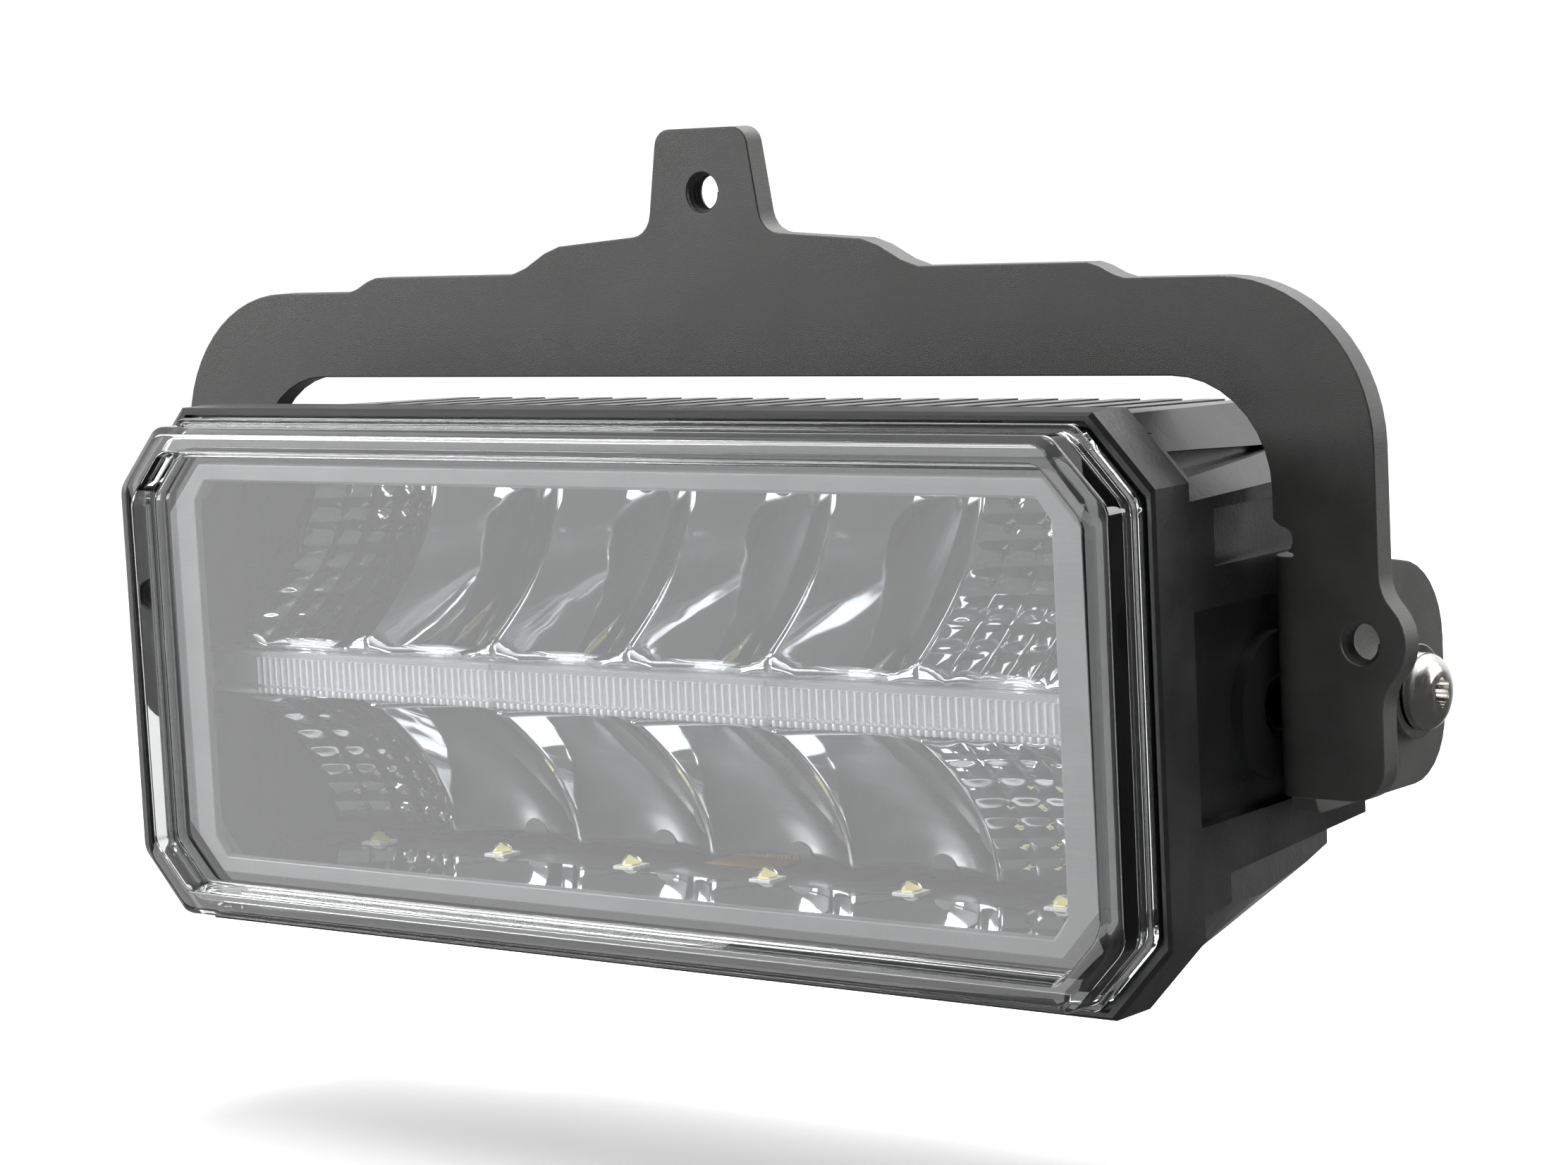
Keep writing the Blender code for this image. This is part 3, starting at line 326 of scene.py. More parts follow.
FINISHES = {
    "bracket_powder_coat": make_powder_coat(),
    "housing_satin_black": make_cast_black(),
    "clear_lens": make_clear_lens(),
    "seal_rubber": make_seal_rubber(),
    "bezel_plastic": make_bezel_plastic(),
    "aluminised_reflector": make_mirror(),
    "light_guide_acrylic": make_acrylic(),
    "circuit_board": make_board("circuit_board", (0.020, 0.020, 0.022), (0.045, 0.045, 0.048)),
    "driver_board": make_board("driver_board", (0.02, 0.13, 0.06), (0.03, 0.20, 0.10)),
    "led_package": make_ceramic(),
    "black_plastic": make_black_plastic(),
    "capacitor_can": make_plated("capacitor_can", (0.60, 0.61, 0.62), 0.3),
    "ribbon_cable": make_ribbon(),
    "plated_insert": make_plated("plated_insert", (0.62, 0.60, 0.54)),
    "friction_fibre": make_fibre(),
    "stainless_steel": make_stainless(),
}
PHOSPHOR = make_phosphor()
# frosted acrylic of the flutes and teeth; on the plain ends' strips it is painted highlight
# for bright edges
FROST_AND_EDGE_HIGHLIGHT = make_acrylic("frost_and_edge_highlight", (0.66, 0.66, 0.68), 0.30, 0.35)
SLOT_OF = {row["node"]: row["material_slot"] for row in frame["record"]["subparts"]}


# ------------------------------------------------------------------ shape kit
MERGE_GAP = 1e-6
FLAT_ANGLE = radians(0.6)       # faces that meet at less than this are one flat face
SIDE_COSINE = 0.9995            # an edge at least this much along a side lies on it
FULLY_FLAT = 100                # weight that keeps large faces' shading flat


def new_piece(name, bm, slot, body, stations=True, materials=()):
    """Turn a bmesh into a piece that rides on a body and wears a slot's finish."""
    if stations:
        bmesh.ops.translate(bm, verts=bm.verts, vec=STATION)
    mesh = bpy.data.meshes.new(name)
    bm.to_mesh(mesh)
    bm.free()
    piece = bpy.data.objects.new(name, mesh)
    bpy.context.collection.objects.link(piece)
    mesh.materials.append(FINISHES[slot])
    for extra in materials:
        mesh.materials.append(extra)
    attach(piece, body)
    return piece


def shade(piece, angle=35):
    piece.data.shade_smooth()
    piece.data.set_sharp_from_angle(angle=radians(angle))


def soften(piece, width, segments=2, angle=30):
    """Live bevel on every edge sharper than an angle, shaded smooth."""
    bevel = piece.modifiers.new("soft_edges", "BEVEL")
    bevel.width = width
    bevel.segments = segments
    bevel.limit_method = "ANGLE"
    bevel.angle_limit = radians(angle)
    bevel.use_clamp_overlap = True
    bevel.miter_outer = "MITER_ARC"
    piece.data.shade_smooth()
    flatten = piece.modifiers.new("flat_faces", "WEIGHTED_NORMAL")
    flatten.weight = FULLY_FLAT
    flatten.keep_sharp = True


def thicken(piece, thickness, offset):
    """Live wall on a sheet: offset -1 or 1 puts it on one side, 0 on both."""
    wall = piece.modifiers.new("wall", "SOLIDIFY")
    wall.thickness = thickness
    wall.offset = offset


def merged_copy(node):
    """The node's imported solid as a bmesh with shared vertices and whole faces."""
    bm = bmesh.new()
    bm.from_mesh(nodes[node].data)
    bmesh.ops.remove_doubles(bm, verts=bm.verts, dist=MERGE_GAP)
    bmesh.ops.dissolve_limit(bm, angle_limit=FLAT_ANGLE, verts=bm.verts, edges=bm.edges)
    return bm


def refined(node, name, width, segments=2, slot=None):
    """A piece with the node's exact shape and softened edges, in the node's place."""
    body = nodes[node]["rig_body"]
    piece = new_piece(name, merged_copy(node), slot or SLOT_OF[node], body, stations=False)
    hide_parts(node)
    soften(piece, width, segments)


def octagon_face(bm, half_w, half_h, cut_w, cut_h, y):
    """Rectangle with cut corners, facing -Y."""
    corners = bmesh.ops.create_grid(bm, x_segments=1, y_segments=1, size=1)["verts"]
    turn = Matrix.Rotation(radians(90), 4, "X")
    size = Matrix.Diagonal((half_w, 1.0, half_h, 1.0))
    bmesh.ops.transform(bm, verts=corners, matrix=Matrix.Translation((0, y, 0)) @ size @ turn)
    square = bm.faces[:][0]
    bmesh.ops.bevel(bm, geom=list(square.verts), offset=cut_w, offset_type="OFFSET",
                    affect="VERTICES", segments=1, profile=0.5, material=-1)
    for vert in bm.verts:
        if abs(vert.co.x) > half_w - cut_w / 2:
            vert.co.z = (half_h - cut_h) * (1 if vert.co.z > 0 else -1)
    return bm.faces[:][0]


def shrink(bm, face, inset, depth=0.0):
    """Inset a face by a width, and move it along its normal by a depth."""
    bmesh.ops.inset_region(bm, faces=[face], thickness=inset, depth=depth,
                           use_even_offset=True, use_boundary=True)


def raise_face(bm, face, step):
    """Extrude one face of a closed shell along its normal; gives the moved face."""
    normal = face.normal.copy()
    moved = extruded_face(bm, face)
    bmesh.ops.translate(bm, verts=moved.verts, vec=normal * step)
    if face.is_valid:
        bm.faces.remove(face)
    moved.normal_update()
    return moved


def extruded_face(bm, face):
    """Extrude a face without moving it; gives the new face."""
    made = bmesh.ops.extrude_face_region(bm, geom=[face])["geom"]
    return next(item for item in made if isinstance(item, bmesh.types.BMFace))


def heighten(face, amount):
    """Move a face's upper corners up and its lower ones down."""
    for vert in face.verts:
        vert.co.z += amount if vert.co.z > 0 else -amount


def round_corners(bm, cut_w, cut_h, offset):
    """Round the corner edges that run through every ring of an octagonal shell."""
    slant = Vector((-cut_w, 0, cut_h)).normalized()
    other = Vector((cut_w, 0, cut_h)).normalized()
    sides = (Vector((1, 0, 0)), Vector((0, 0, 1)), slant, other)

    def along_a_side(edge):
        run = (edge.verts[1].co - edge.verts[0].co).normalized()
        return any(abs(run.dot(side)) > SIDE_COSINE for side in sides)

    corners = [e for e in bm.edges if not along_a_side(e)]
    bmesh.ops.bevel(bm, geom=corners, offset=offset, offset_type="OFFSET", affect="EDGES",
                    segments=3, profile=0.5, material=-1, clamp_overlap=True)


def slab(bm, one, other):
    """Box between two opposite corners; gives its vertices."""
    low = Vector([min(pair) for pair in zip(one, other)])
    high = Vector([max(pair) for pair in zip(one, other)])
    verts = bmesh.ops.create_cube(bm, size=1)["verts"]
    middle, size = (low + high) / 2, high - low
    place = Matrix.Translation(middle) @ Matrix.Diagonal((*size, 1.0))
    bmesh.ops.transform(bm, verts=verts, matrix=place)
    return verts


def stand(bm, centre, direction):
    """Turn what was made along +Z to a direction and move it to its centre."""
    turn = Vector((0, 0, 1)).rotation_difference(Vector(direction)).to_matrix().to_4x4()
    bmesh.ops.transform(bm, verts=bm.verts, matrix=Matrix.Translation(centre) @ turn)
    bmesh.ops.recalc_face_normals(bm, faces=bm.faces)


def spun(profile, centre, direction, steps):
    """Closed turned solid; the profile's second value runs along the direction."""
    bm = bmesh.new()
    points = [bm.verts.new((radius, 0, along)) for radius, along in profile]
    edges = [bm.edges.new(pair) for pair in zip(points, points[1:])]
    bmesh.ops.spin(bm, geom=points + edges, cent=(0, 0, 0), axis=(0, 0, 1), dvec=(0, 0, 0),
                   angle=2 * pi, steps=steps, use_merge=True)
    bmesh.ops.remove_doubles(bm, verts=bm.verts, dist=MERGE_GAP)
    stand(bm, centre, direction)
    return bm


def give_second_finish(bm, before):
    """Let the faces made since 'before' wear the piece's second material."""
    for face in bm.faces:
        if face not in before:
            face.material_index = 1


def join_into(target, source):
    """Move the geometry of one bmesh into another."""
    mesh = bpy.data.meshes.new("joining")
    source.to_mesh(mesh)
    source.free()
    target.from_mesh(mesh)
    bpy.data.meshes.remove(mesh)


# ------------------------------------------------------------------ bracket
BRACKET_EDGE = 0.00045
PLATE_T = 0.005
HOLE_R = 0.0039
THREAD_PITCH = 0.00125
THREAD_DEPTH = 0.00060
THREAD_ROOT = 0.0002            # how far the ridge reaches into the plate
THREAD_HALF = 0.46              # half the ridge's foot, as a share of the pitch
THREAD_STEPS = 32               # steps in one turn


def make_thread(name, centre):
    """Ridges of an internal thread along a hole, cut off inside both faces."""
    bm = bmesh.new()
    half = THREAD_PITCH * THREAD_HALF
    start = THREAD_PITCH * 0.5
    root, crest = HOLE_R + THREAD_ROOT, HOLE_R - THREAD_DEPTH
    section = [(root, start - half), (crest, start), (root, start + half)]
    points = [bm.verts.new((r, 0, along)) for r, along in section]
    edges = [bm.edges.new((points[i], points[(i + 1) % 3])) for i in range(3)]
    turns = int((PLATE_T - THREAD_PITCH) / THREAD_PITCH)
    bmesh.ops.spin(bm, geom=points + edges, cent=(0, 0, 0), axis=(0, 0, 1),
                   dvec=(0, 0, THREAD_PITCH / THREAD_STEPS), angle=2 * pi * turns,
                   steps=THREAD_STEPS * turns)
    bmesh.ops.holes_fill(bm, edges=bm.edges, sides=3)
    stand(bm, centre, (0, 1, 0))
    shade(new_piece(name, bm, "bracket_powder_coat", BRACKET, stations=False), 50)


def bracket_holes():
    """Centres of the three threaded holes on the plate's front face, by name."""
    openings = {o["name"]: o["box_m"] for o in frame["record"]["physics"]["openings"]}
    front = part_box("mounting_arch")[0].y
    centres = {}
    for name in ("tab_hole", "left_leg_hole", "right_leg_hole"):
        low, high = openings[name]
        centres[name] = Vector(((low[0] + high[0]) / 2, front, (low[2] + high[2]) / 2))
    return centres


# ------------------------------------------------------------------ lens and frame
LENS_CUT_W, LENS_CUT_H = 0.0120, 0.0130    # corner cut of the lens outline
LENS_WALL = 0.0025
RECESS_DEPTH = 0.0050
RECESS_SLOPE = 0.0012           # how far the recess's wall leans inwards
FLANGE_T = 0.0019
FLANGE_LIP = 0.0012             # the flange's width outside the side wall
RIM_CHAMFER_W, RIM_CHAMFER_D = 0.0032, 0.0013
RIM_FLAT_W = 0.0017
RIM_FLAT_H = 0.0017             # the rim's flat is this much wider above and below
RIM_BACK = 0.0037               # width of the flat face behind the solid rim
LENS_CORNER_R = 0.0015

SEAL_INSET = 0.0028             # the lip's outer edge, inside the side wall
SEAL_LIP_W = 0.0034
SEAL_LIP_T = 0.0006
SEAL_GAP = 0.00015


def make_lens():
    """Clear front: recessed face, solid raised rim with a chamfer, side wall and flange."""
    high = station_box("lens")[1]
    bm = bmesh.new()
    back = octagon_face(bm, high.x, high.z, LENS_CUT_W, LENS_CUT_H, high.y)
    front = extruded_face(bm, back)
    bmesh.ops.translate(bm, verts=front.verts, vec=(0, -FLANGE_T, 0))
    bmesh.ops.recalc_face_normals(bm, faces=bm.faces)
    shrink(bm, front, FLANGE_LIP)
    front = raise_face(bm, front, high.y - FLANGE_T - RIM_CHAMFER_D)
    shrink(bm, front, RIM_CHAMFER_W, RIM_CHAMFER_D)
    heighten(front, RIM_FLAT_H)
    shrink(bm, front, RIM_FLAT_W)
    heighten(front, -RIM_FLAT_H)
    shrink(bm, front, RECESS_SLOPE, -RECESS_DEPTH)
    back = max((f for f in bm.faces if f.normal.y > 0.9), key=lambda f: f.calc_area())
    shrink(bm, back, RIM_BACK)
    raise_face(bm, back, -(high.y - RECESS_DEPTH - LENS_WALL))
    round_corners(bm, LENS_CUT_W, LENS_CUT_H, LENS_CORNER_R)
    bmesh.ops.recalc_face_normals(bm, faces=bm.faces)
    piece = new_piece("clear_lens", bm, "clear_lens", LAMP)
    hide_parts("lens")
    soften(piece, 0.00035, 3, 12)


def make_seal():
    """Rubber ring under the flange, with a thin black lip up behind the clear rim."""
    refined("lens_seal", "flange_seal", 0.0003)
    high = station_box("lens")[1]
    edge = high.x - FLANGE_LIP
    top = high.z - FLANGE_LIP
    front = RECESS_DEPTH + LENS_WALL + SEAL_GAP
    bm = bmesh.new()
    lip = octagon_face(bm, edge - SEAL_INSET, top - SEAL_INSET, LENS_CUT_W - FLANGE_LIP,
                       LENS_CUT_H - FLANGE_LIP, front)
    shrink(bm, lip, SEAL_LIP_W)
    bmesh.ops.delete(bm, geom=[lip], context="FACES")
    bmesh.ops.recalc_face_normals(bm, faces=bm.faces)
    piece = new_piece("seal_lip", bm, "seal_rubber", LAMP)
    thicken(piece, SEAL_LIP_T, -1.0 if piece.data.polygons[0].normal.y < 0 else 1.0)
    shade(piece)


# ------------------------------------------------------------------ reflectors
FOCAL_LENGTH = 0.011
CUP_COUNT = 6
CUP_WALL = 0.0010
CHIP_DROP = 0.0020              # cup edge below the LED plane
PLAIN_GRID, PILLOW_GRID = (28, 32), (60, 60)
PILLOWS_ACROSS, PILLOWS_ALONG = 6, 7
PILLOW_HEIGHT = 0.0011
PILLOW_SINK = 0.0003            # the whole pillowed surface lies this much back
PILLOW_SHAPE = 0.7              # below 1 gives flatter tops and narrower grooves
NOTCH_R = 0.0029
NOTCH_FRONT, NOTCH_BACK = -0.0012, 0.0004
NOTCH_SHIFT = 0.0006            # notch behind the cup's apex


def row_side(row):
    """1 where the LEDs shine up from the lower ledge, -1 where they shine down."""
    return -1 if row == "upper" else 1


def ledge_level(row, low, high):
    """The side of a box that lies at the row's LED ledge."""
    return high.z if row == "upper" else low.z


def led_places(row):
    """Station of each LED's foot centre, its row named."""
    places = []
    for i in range(CUP_COUNT):
        low, high = station_box("led_%s_%d" % (row, i + 1))
        places.append(Vector(((low.x + high.x) / 2, (low.y + high.y) / 2,
                              ledge_level(row, low, high))))
    return places


def cup_surface(bm, centre, pitch, side, far, near, front, pillows):
    """One quarter cup as a fine grid bent into a paraboloid about its LED."""
    columns, rows = PILLOW_GRID if pillows else PLAIN_GRID
    made = bmesh.ops.create_grid(bm, x_segments=columns, y_segments=rows, size=0.5)["verts"]
    apex = centre.y + FOCAL_LENGTH
    for vert in made:
        u, v = vert.co.x, vert.co.y + 0.5
        dx, dz = u * pitch, near + (far - near) * v
        y = apex - (dx * dx + dz * dz) / (4 * FOCAL_LENGTH)
        if pillows:
            across = abs(sin(pi * PILLOWS_ACROSS * (u + 0.5)))
            along = abs(sin(pi * PILLOWS_ALONG * v))
            y -= PILLOW_HEIGHT * (across * along) ** PILLOW_SHAPE - PILLOW_SINK
        vert.co = (centre.x + dx, max(y, front), centre.z + side * dz)


def make_reflector(row):
    """Row of mirror cups; the outermost two are covered in pillow facets."""
    node = "reflector_" + row
    low, high = station_box(node)
    places = led_places(row)
    pitch = places[1].x - places[0].x
    side = row_side(row)
    chip = ledge_level(row, low, high) - side * CHIP_DROP
    far = abs(chip - (low.z if side < 0 else high.z))
    bm = bmesh.new()
    for i, place in enumerate(places):
        centre = Vector((place.x, place.y, chip))
        pillows = i in (0, CUP_COUNT - 1)
        cup_surface(bm, centre, pitch, side, far, CHIP_DROP, low.y, pillows)
    piece = new_piece("cups_" + row, bm, "aluminised_reflector", LAMP)
    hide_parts(node)
    thicken(piece, CUP_WALL, -side)
    shade(piece, 60)


def make_cup_notches(row):
    """Dark semicircular recess in each cup's edge, straight behind its LED."""
    level = ledge_level(row, *station_box("reflector_" + row))
    profile = [(0, NOTCH_FRONT), (NOTCH_R, NOTCH_FRONT), (NOTCH_R, NOTCH_BACK),
               (0, NOTCH_BACK)]
    bm = bmesh.new()
    for place in led_places(row):
        centre = (place.x, place.y + FOCAL_LENGTH + NOTCH_SHIFT, level)
        plug = spun(profile, centre, (0, 1, 0), 32)
        geometry = plug.verts[:] + plug.edges[:] + plug.faces[:]
        bmesh.ops.bisect_plane(plug, geom=geometry, plane_co=centre,
                               plane_no=(0, 0, row_side(row)), clear_inner=True)
        bmesh.ops.holes_fill(plug, edges=plug.edges)
        join_into(bm, plug)
    shade(new_piece("cup_notches_" + row, bm, "black_plastic", LAMP))


# ------------------------------------------------------------------ LEDs
LED_BASE_T = 0.0008
CHIP_T = 0.00022
CHIP_SHARE = 0.42               # chip and dome, as shares of the base's half width
DOME_SHARE = 0.80
DOME_GAP = 0.00005              # the dome starts this far above the base
DOME_ROOM = 0.0009              # height kept free for the base under the dome
DOME_STEPS = 10


def make_led(row, number):
    """Ceramic base, yellow chip and a clear dome."""
    node = "led_%s_%d" % (row, number)
    low, high = station_box(node)
    side = row_side(row)
    foot = ledge_level(row, low, high)
    middle = Vector(((low.x + high.x) / 2, (low.y + high.y) / 2, foot))
    half = (high.x - low.x) / 2
    bm = bmesh.new()
    base_top = foot + side * LED_BASE_T
    verts = slab(bm, (middle.x - half, middle.y - half, foot),
                 (middle.x + half, middle.y + half, base_top))
    edges = list(dict.fromkeys(e for v in verts for e in v.link_edges))
    bmesh.ops.bevel(bm, geom=edges, offset=0.00012, affect="EDGES", segments=2, profile=0.5,
                    material=-1)
    base_faces = set(bm.faces)
    chip = half * CHIP_SHARE
    chip_top = base_top + side * CHIP_T
    slab(bm, (middle.x - chip, middle.y - chip, base_top),
         (middle.x + chip, middle.y + chip, chip_top))
    give_second_finish(bm, base_faces)
    piece = new_piece(node + "_body", bm, "led_package", LAMP, materials=[PHOSPHOR])
    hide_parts(node)
    dome_r = half * DOME_SHARE
    start = base_top + side * DOME_GAP
    dome_h = min(dome_r, (high.z - low.z) - DOME_ROOM)
    profile = [(0, 0), (dome_r, 0)]
    for i in range(1, DOME_STEPS):
        turn = pi / 2 * i / DOME_STEPS
        profile.append((dome_r * cos(turn), dome_h * sin(turn)))
    profile.append((0, dome_h))
    dome = spun(profile, (middle.x, middle.y, start), (0, 0, side), 24)
    shade(new_piece(node + "_dome", dome, "clear_lens", LAMP), 50)


# ------------------------------------------------------------------ light bars
FLUTE_PITCH = 0.00175
FLUTE_SHARE, TOOTH_SHARE = 0.30, 0.27   # of the pitch, each side of its middle
PLAIN_END = 0.0130              # plain block at each outer end of the row
BAR_MARGIN = 0.0004             # from a bar's end to its first flute
BAR_LIP_H = 0.0013
BAR_SILL_H = 0.0018
FLUTE_AXIS = 0.0007             # depth of the flutes' axes behind the bar's front
BAR_LAP = 0.0002                # how far neighbouring boxes reach into each other
SILL_EDGE_H = 0.0006
TOOTH_GAP = 0.0005
EDGE_HIGHLIGHT_W = 0.0009              # width of the whitish strips round a plain end, painted highlight for its bright edges

CUP_LIP_T = 0.0007
CUP_LIP_LOW, CUP_LIP_ARCH = 0.0011, 0.0012      # height at the ends of an arch, and its rise
CUP_LIP_SWELL, CUP_LIP_LEAN = 0.0022, 0.0008    # depth at an arch's middle, and at its top
CUP_LIP_COLUMNS = 24            # columns of the lip's grid for each cup


def make_plain_end(bm, low, high, lip, x, inner):
    """Clear block at the row's outer end, in a frame of whitish strips: painted highlight for
    its bright edges.
    """
    slab(bm, (x, low.y + 0.0001, low.z + 0.0004), (inner, high.y, lip + BAR_LAP))
    before = set(bm.faces)
    outer = x - EDGE_HIGHLIGHT_W if x > 0 else x + EDGE_HIGHLIGHT_W
    # whitish strips along the end, bottom and top edges of the block: painted highlight for
    # bright edges
    slab(bm, (x, low.y, low.z), (outer, high.y, high.z))
    for bottom in (low.z, lip):
        slab(bm, (x, low.y, bottom), (inner, high.y, bottom + EDGE_HIGHLIGHT_W))
    give_second_finish(bm, before)


def make_light_bar(place):
    """Clear bar: fluted front, a smooth lip above and a row of small teeth below."""
    low, high = station_box("light_guide_" + place)
    start, end = low.x, high.x
    first = start + (PLAIN_END if place == "left" else BAR_MARGIN)
    last = end - (PLAIN_END if place == "right" else BAR_MARGIN)
    lip = high.z - BAR_LIP_H
    sill = low.z + BAR_SILL_H
    bm = bmesh.new()
    slab(bm, (start, low.y + FLUTE_AXIS, sill), (end, high.y, lip))
    slab(bm, (start, low.y, lip - BAR_LAP), (end, high.y, high.z))
    slab(bm, (start, low.y + 0.0002, sill - SILL_EDGE_H), (end, high.y, sill + BAR_LAP))
    clear_faces = set(bm.faces)
    count = round((last - first) / FLUTE_PITCH)
    pitch = (last - first) / count
    radius, tooth = pitch * FLUTE_SHARE, pitch * TOOTH_SHARE
    for i in range(count):
        x = first + (i + 0.5) * pitch
        rib = bmesh.ops.create_cone(bm, segments=10, cap_ends=True, radius1=radius,
                                    radius2=radius, depth=lip - sill)["verts"]
        middle = Vector((x, low.y + FLUTE_AXIS, (lip + sill) / 2))
        bmesh.ops.translate(bm, verts=rib, vec=middle)
        slab(bm, (x - tooth, low.y + 0.0003, low.z), (x + tooth, high.y, sill - TOOTH_GAP))
    give_second_finish(bm, clear_faces)
    if place == "left":
        make_plain_end(bm, low, high, lip, start, first)
    elif place == "right":
        make_plain_end(bm, low, high, lip, end, last)
    piece = new_piece("light_bar_" + place, bm, "light_guide_acrylic", LAMP,
                      materials=[FROST_AND_EDGE_HIGHLIGHT])
    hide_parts("light_guide_" + place)
    soften(piece, 0.00012, 1, 40)


def make_cup_lip():
    """Clear scalloped lip between the upper cups and the light bars, an arch per cup."""
    front = station_box("reflector_upper")[0].y
    bar_top = station_box("light_guide_centre")[1].z
    places = led_places("upper")
    pitch = places[1].x - places[0].x
    start, end = places[0].x - pitch / 2, places[-1].x + pitch / 2
    bm = bmesh.new()
    columns = CUP_LIP_COLUMNS * CUP_COUNT
    made = bmesh.ops.create_grid(bm, x_segments=columns, y_segments=4, size=0.5)["verts"]
    for vert in made:
        u, v = vert.co.x + 0.5, vert.co.y + 0.5
        x = start + (end - start) * u
        swing = ((x - start) / pitch) % 1.0 - 0.5
        arch = 1 - (2 * swing) ** 2
        y = front + 0.0002 + CUP_LIP_SWELL * arch + CUP_LIP_LEAN * v
        z = bar_top + 0.0002 + v * (CUP_LIP_LOW + CUP_LIP_ARCH * arch)
        vert.co = (x, y, z)
    piece = new_piece("cup_lip", bm, "light_guide_acrylic", LAMP)
    thicken(piece, CUP_LIP_T, 0.0)
    shade(piece, 60)


# ------------------------------------------------------------------ pivot hardware
SHANK_SHARE = 0.54              # shares of the head's radius
FLAT_SHARE = 0.40
SOCKET_SHARE = 0.36
CROWN_SHARE = 0.42              # the crown's arc starts from this share of the radius
RIM_SHARE = 0.22                # straight part, as a share of the head's height
CROWN_STEPS = 10
SOCKET_LOBES, LOBE_DEPTH = 6, 0.13
SCREW_EDGE = 0.0006
SEAT_GAP = 0.0003


def carve(piece, cutter_bm):
    """Cut a bmesh out of a piece at once; the cutter is thrown away."""
    mesh = bpy.data.meshes.new("cutter")
    cutter_bm.to_mesh(mesh)
    cutter_bm.free()
    cutter = bpy.data.objects.new("cutter", mesh)
    bpy.context.collection.objects.link(cutter)
    modifier = piece.modifiers.new("carve", "BOOLEAN")
    modifier.operation = "DIFFERENCE"
    modifier.object = cutter
    modifier.solver = "EXACT"
    settle(piece)
    bpy.data.objects.remove(cutter, do_unlink=True)


def settle(piece):
    """Bake a piece's modifiers into its mesh."""
    bpy.context.view_layer.update()
    evaluated = piece.evaluated_get(bpy.context.evaluated_depsgraph_get())
    mesh = bpy.data.meshes.new_from_object(evaluated)
    piece.modifiers.clear()
    piece.data = mesh


def make_socket(centre, radius, depth):
    """Cutter for the star-shaped socket, along X."""
    socket = bmesh.new()
    lobes = bmesh.ops.create_cone(socket, segments=48, cap_ends=True, radius1=radius,
                                  radius2=radius, depth=depth)["verts"]
    for vert in lobes:
        turn = atan2(vert.co.y, vert.co.x)
        vert.co.xy *= 1 + LOBE_DEPTH * cos(SOCKET_LOBES * turn)
    bmesh.ops.transform(socket, verts=socket.verts, matrix=Matrix.Rotation(pi / 2, 4, "Y"))
    bmesh.ops.translate(socket, verts=socket.verts, vec=centre)
    return socket


def make_screw(name, side):
    """Button-head screw with a star-shaped socket; side is 1 on the right, -1 on the left."""
    low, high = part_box("pivot_screw_" + name)
    middle = (low + high) / 2
    head_r = (high.z - low.z) / 2
    washer_low, washer_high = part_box("pivot_washer_" + name)
    seat = (washer_high.x if side > 0 else -washer_low.x) + SEAT_GAP
    tip = high.x if side > 0 else -low.x
    end = low.x if side > 0 else -high.x
    height = tip - seat
    shank = head_r * SHANK_SHARE
    profile = [(0, end), (shank - SCREW_EDGE, end), (shank, end + SCREW_EDGE), (shank, seat),
               (head_r - 0.0002, seat), (head_r, seat + 0.0003),
               (head_r, seat + height * RIM_SHARE)]
    for i in range(1, CROWN_STEPS):
        turn = pi / 2 * i / CROWN_STEPS
        profile.append((head_r * (CROWN_SHARE + (1 - CROWN_SHARE) * cos(turn)),
                        seat + height * (RIM_SHARE + (1 - RIM_SHARE) * sin(turn))))
    profile += [(head_r * FLAT_SHARE, tip), (0, tip)]
    head = spun(profile, (0, middle.y, middle.z), (1, 0, 0), 64)
    socket = make_socket((tip, middle.y, middle.z), head_r * SOCKET_SHARE, height * 1.2)
    if side < 0:
        for part in (head, socket):
            bmesh.ops.scale(part, verts=part.verts, vec=(-1, 1, 1))
            bmesh.ops.recalc_face_normals(part, faces=part.faces)
    piece = new_piece("tilt_screw_" + name, head, "stainless_steel", LAMP, stations=False)
    carve(piece, socket)
    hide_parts("pivot_screw_" + name)
    refined("pivot_washer_" + name, "screw_washer_" + name, 0.0002)
    shade(piece, 32)


# ------------------------------------------------------------------ the object
def dress_cad_nodes():
    """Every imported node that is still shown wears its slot's finish."""
    for node, obj in nodes.items():
        obj.data.materials.clear()
        obj.data.materials.append(FINISHES[SLOT_OF[node]])


SIDE_FITTINGS = (               # node and piece without their side, width of soft edges
    ("friction_disc_", "tilt_disc_", 0.0002),
    ("boss_insert_", "side_insert_", 0.0003),
    ("pivot_insert_", "tilt_insert_", 0.0003),
)
REAR_FITTINGS = (
    ("cable_gland", "gland_body", 0.0003),
    ("gland_nut", "gland_cap", 0.0003),
    ("vent_plug", "vent_cap", 0.0003),
    ("driver_inductor", "driver_coil", 0.0005),
    ("driver_capacitor", "driver_can", 0.0004),
    ("driver_connector", "driver_socket", 0.0003),
)


def build_object():
    dress_cad_nodes()
    refined("mounting_arch", "arch_plate", BRACKET_EDGE, 3)
    for name, centre in bracket_holes().items():
        make_thread("thread_" + name, centre)
    refined("housing", "housing_casting", 0.0006, 3)
    make_lens()
    make_seal()
    refined("bezel", "window_frame", 0.0003)
    refined("light_guide_carrier", "bar_carrier", 0.0003, slot="bezel_plastic")
    for row in ("upper", "lower"):
        make_reflector(row)
        make_cup_notches(row)
        refined("mirror_strip_" + row, "ledge_" + row, 0.00015)
        for number in range(1, CUP_COUNT + 1):
            make_led(row, number)
    for place in ("left", "centre", "right"):
        make_light_bar(place)
    make_cup_lip()
    for name, side in (("right", 1), ("left", -1)):
        make_screw(name, side)
        for node, piece, edge in SIDE_FITTINGS:
            refined(node + name, piece + name, edge)
    for node, piece, edge in REAR_FITTINGS:
        refined(node, piece, edge)


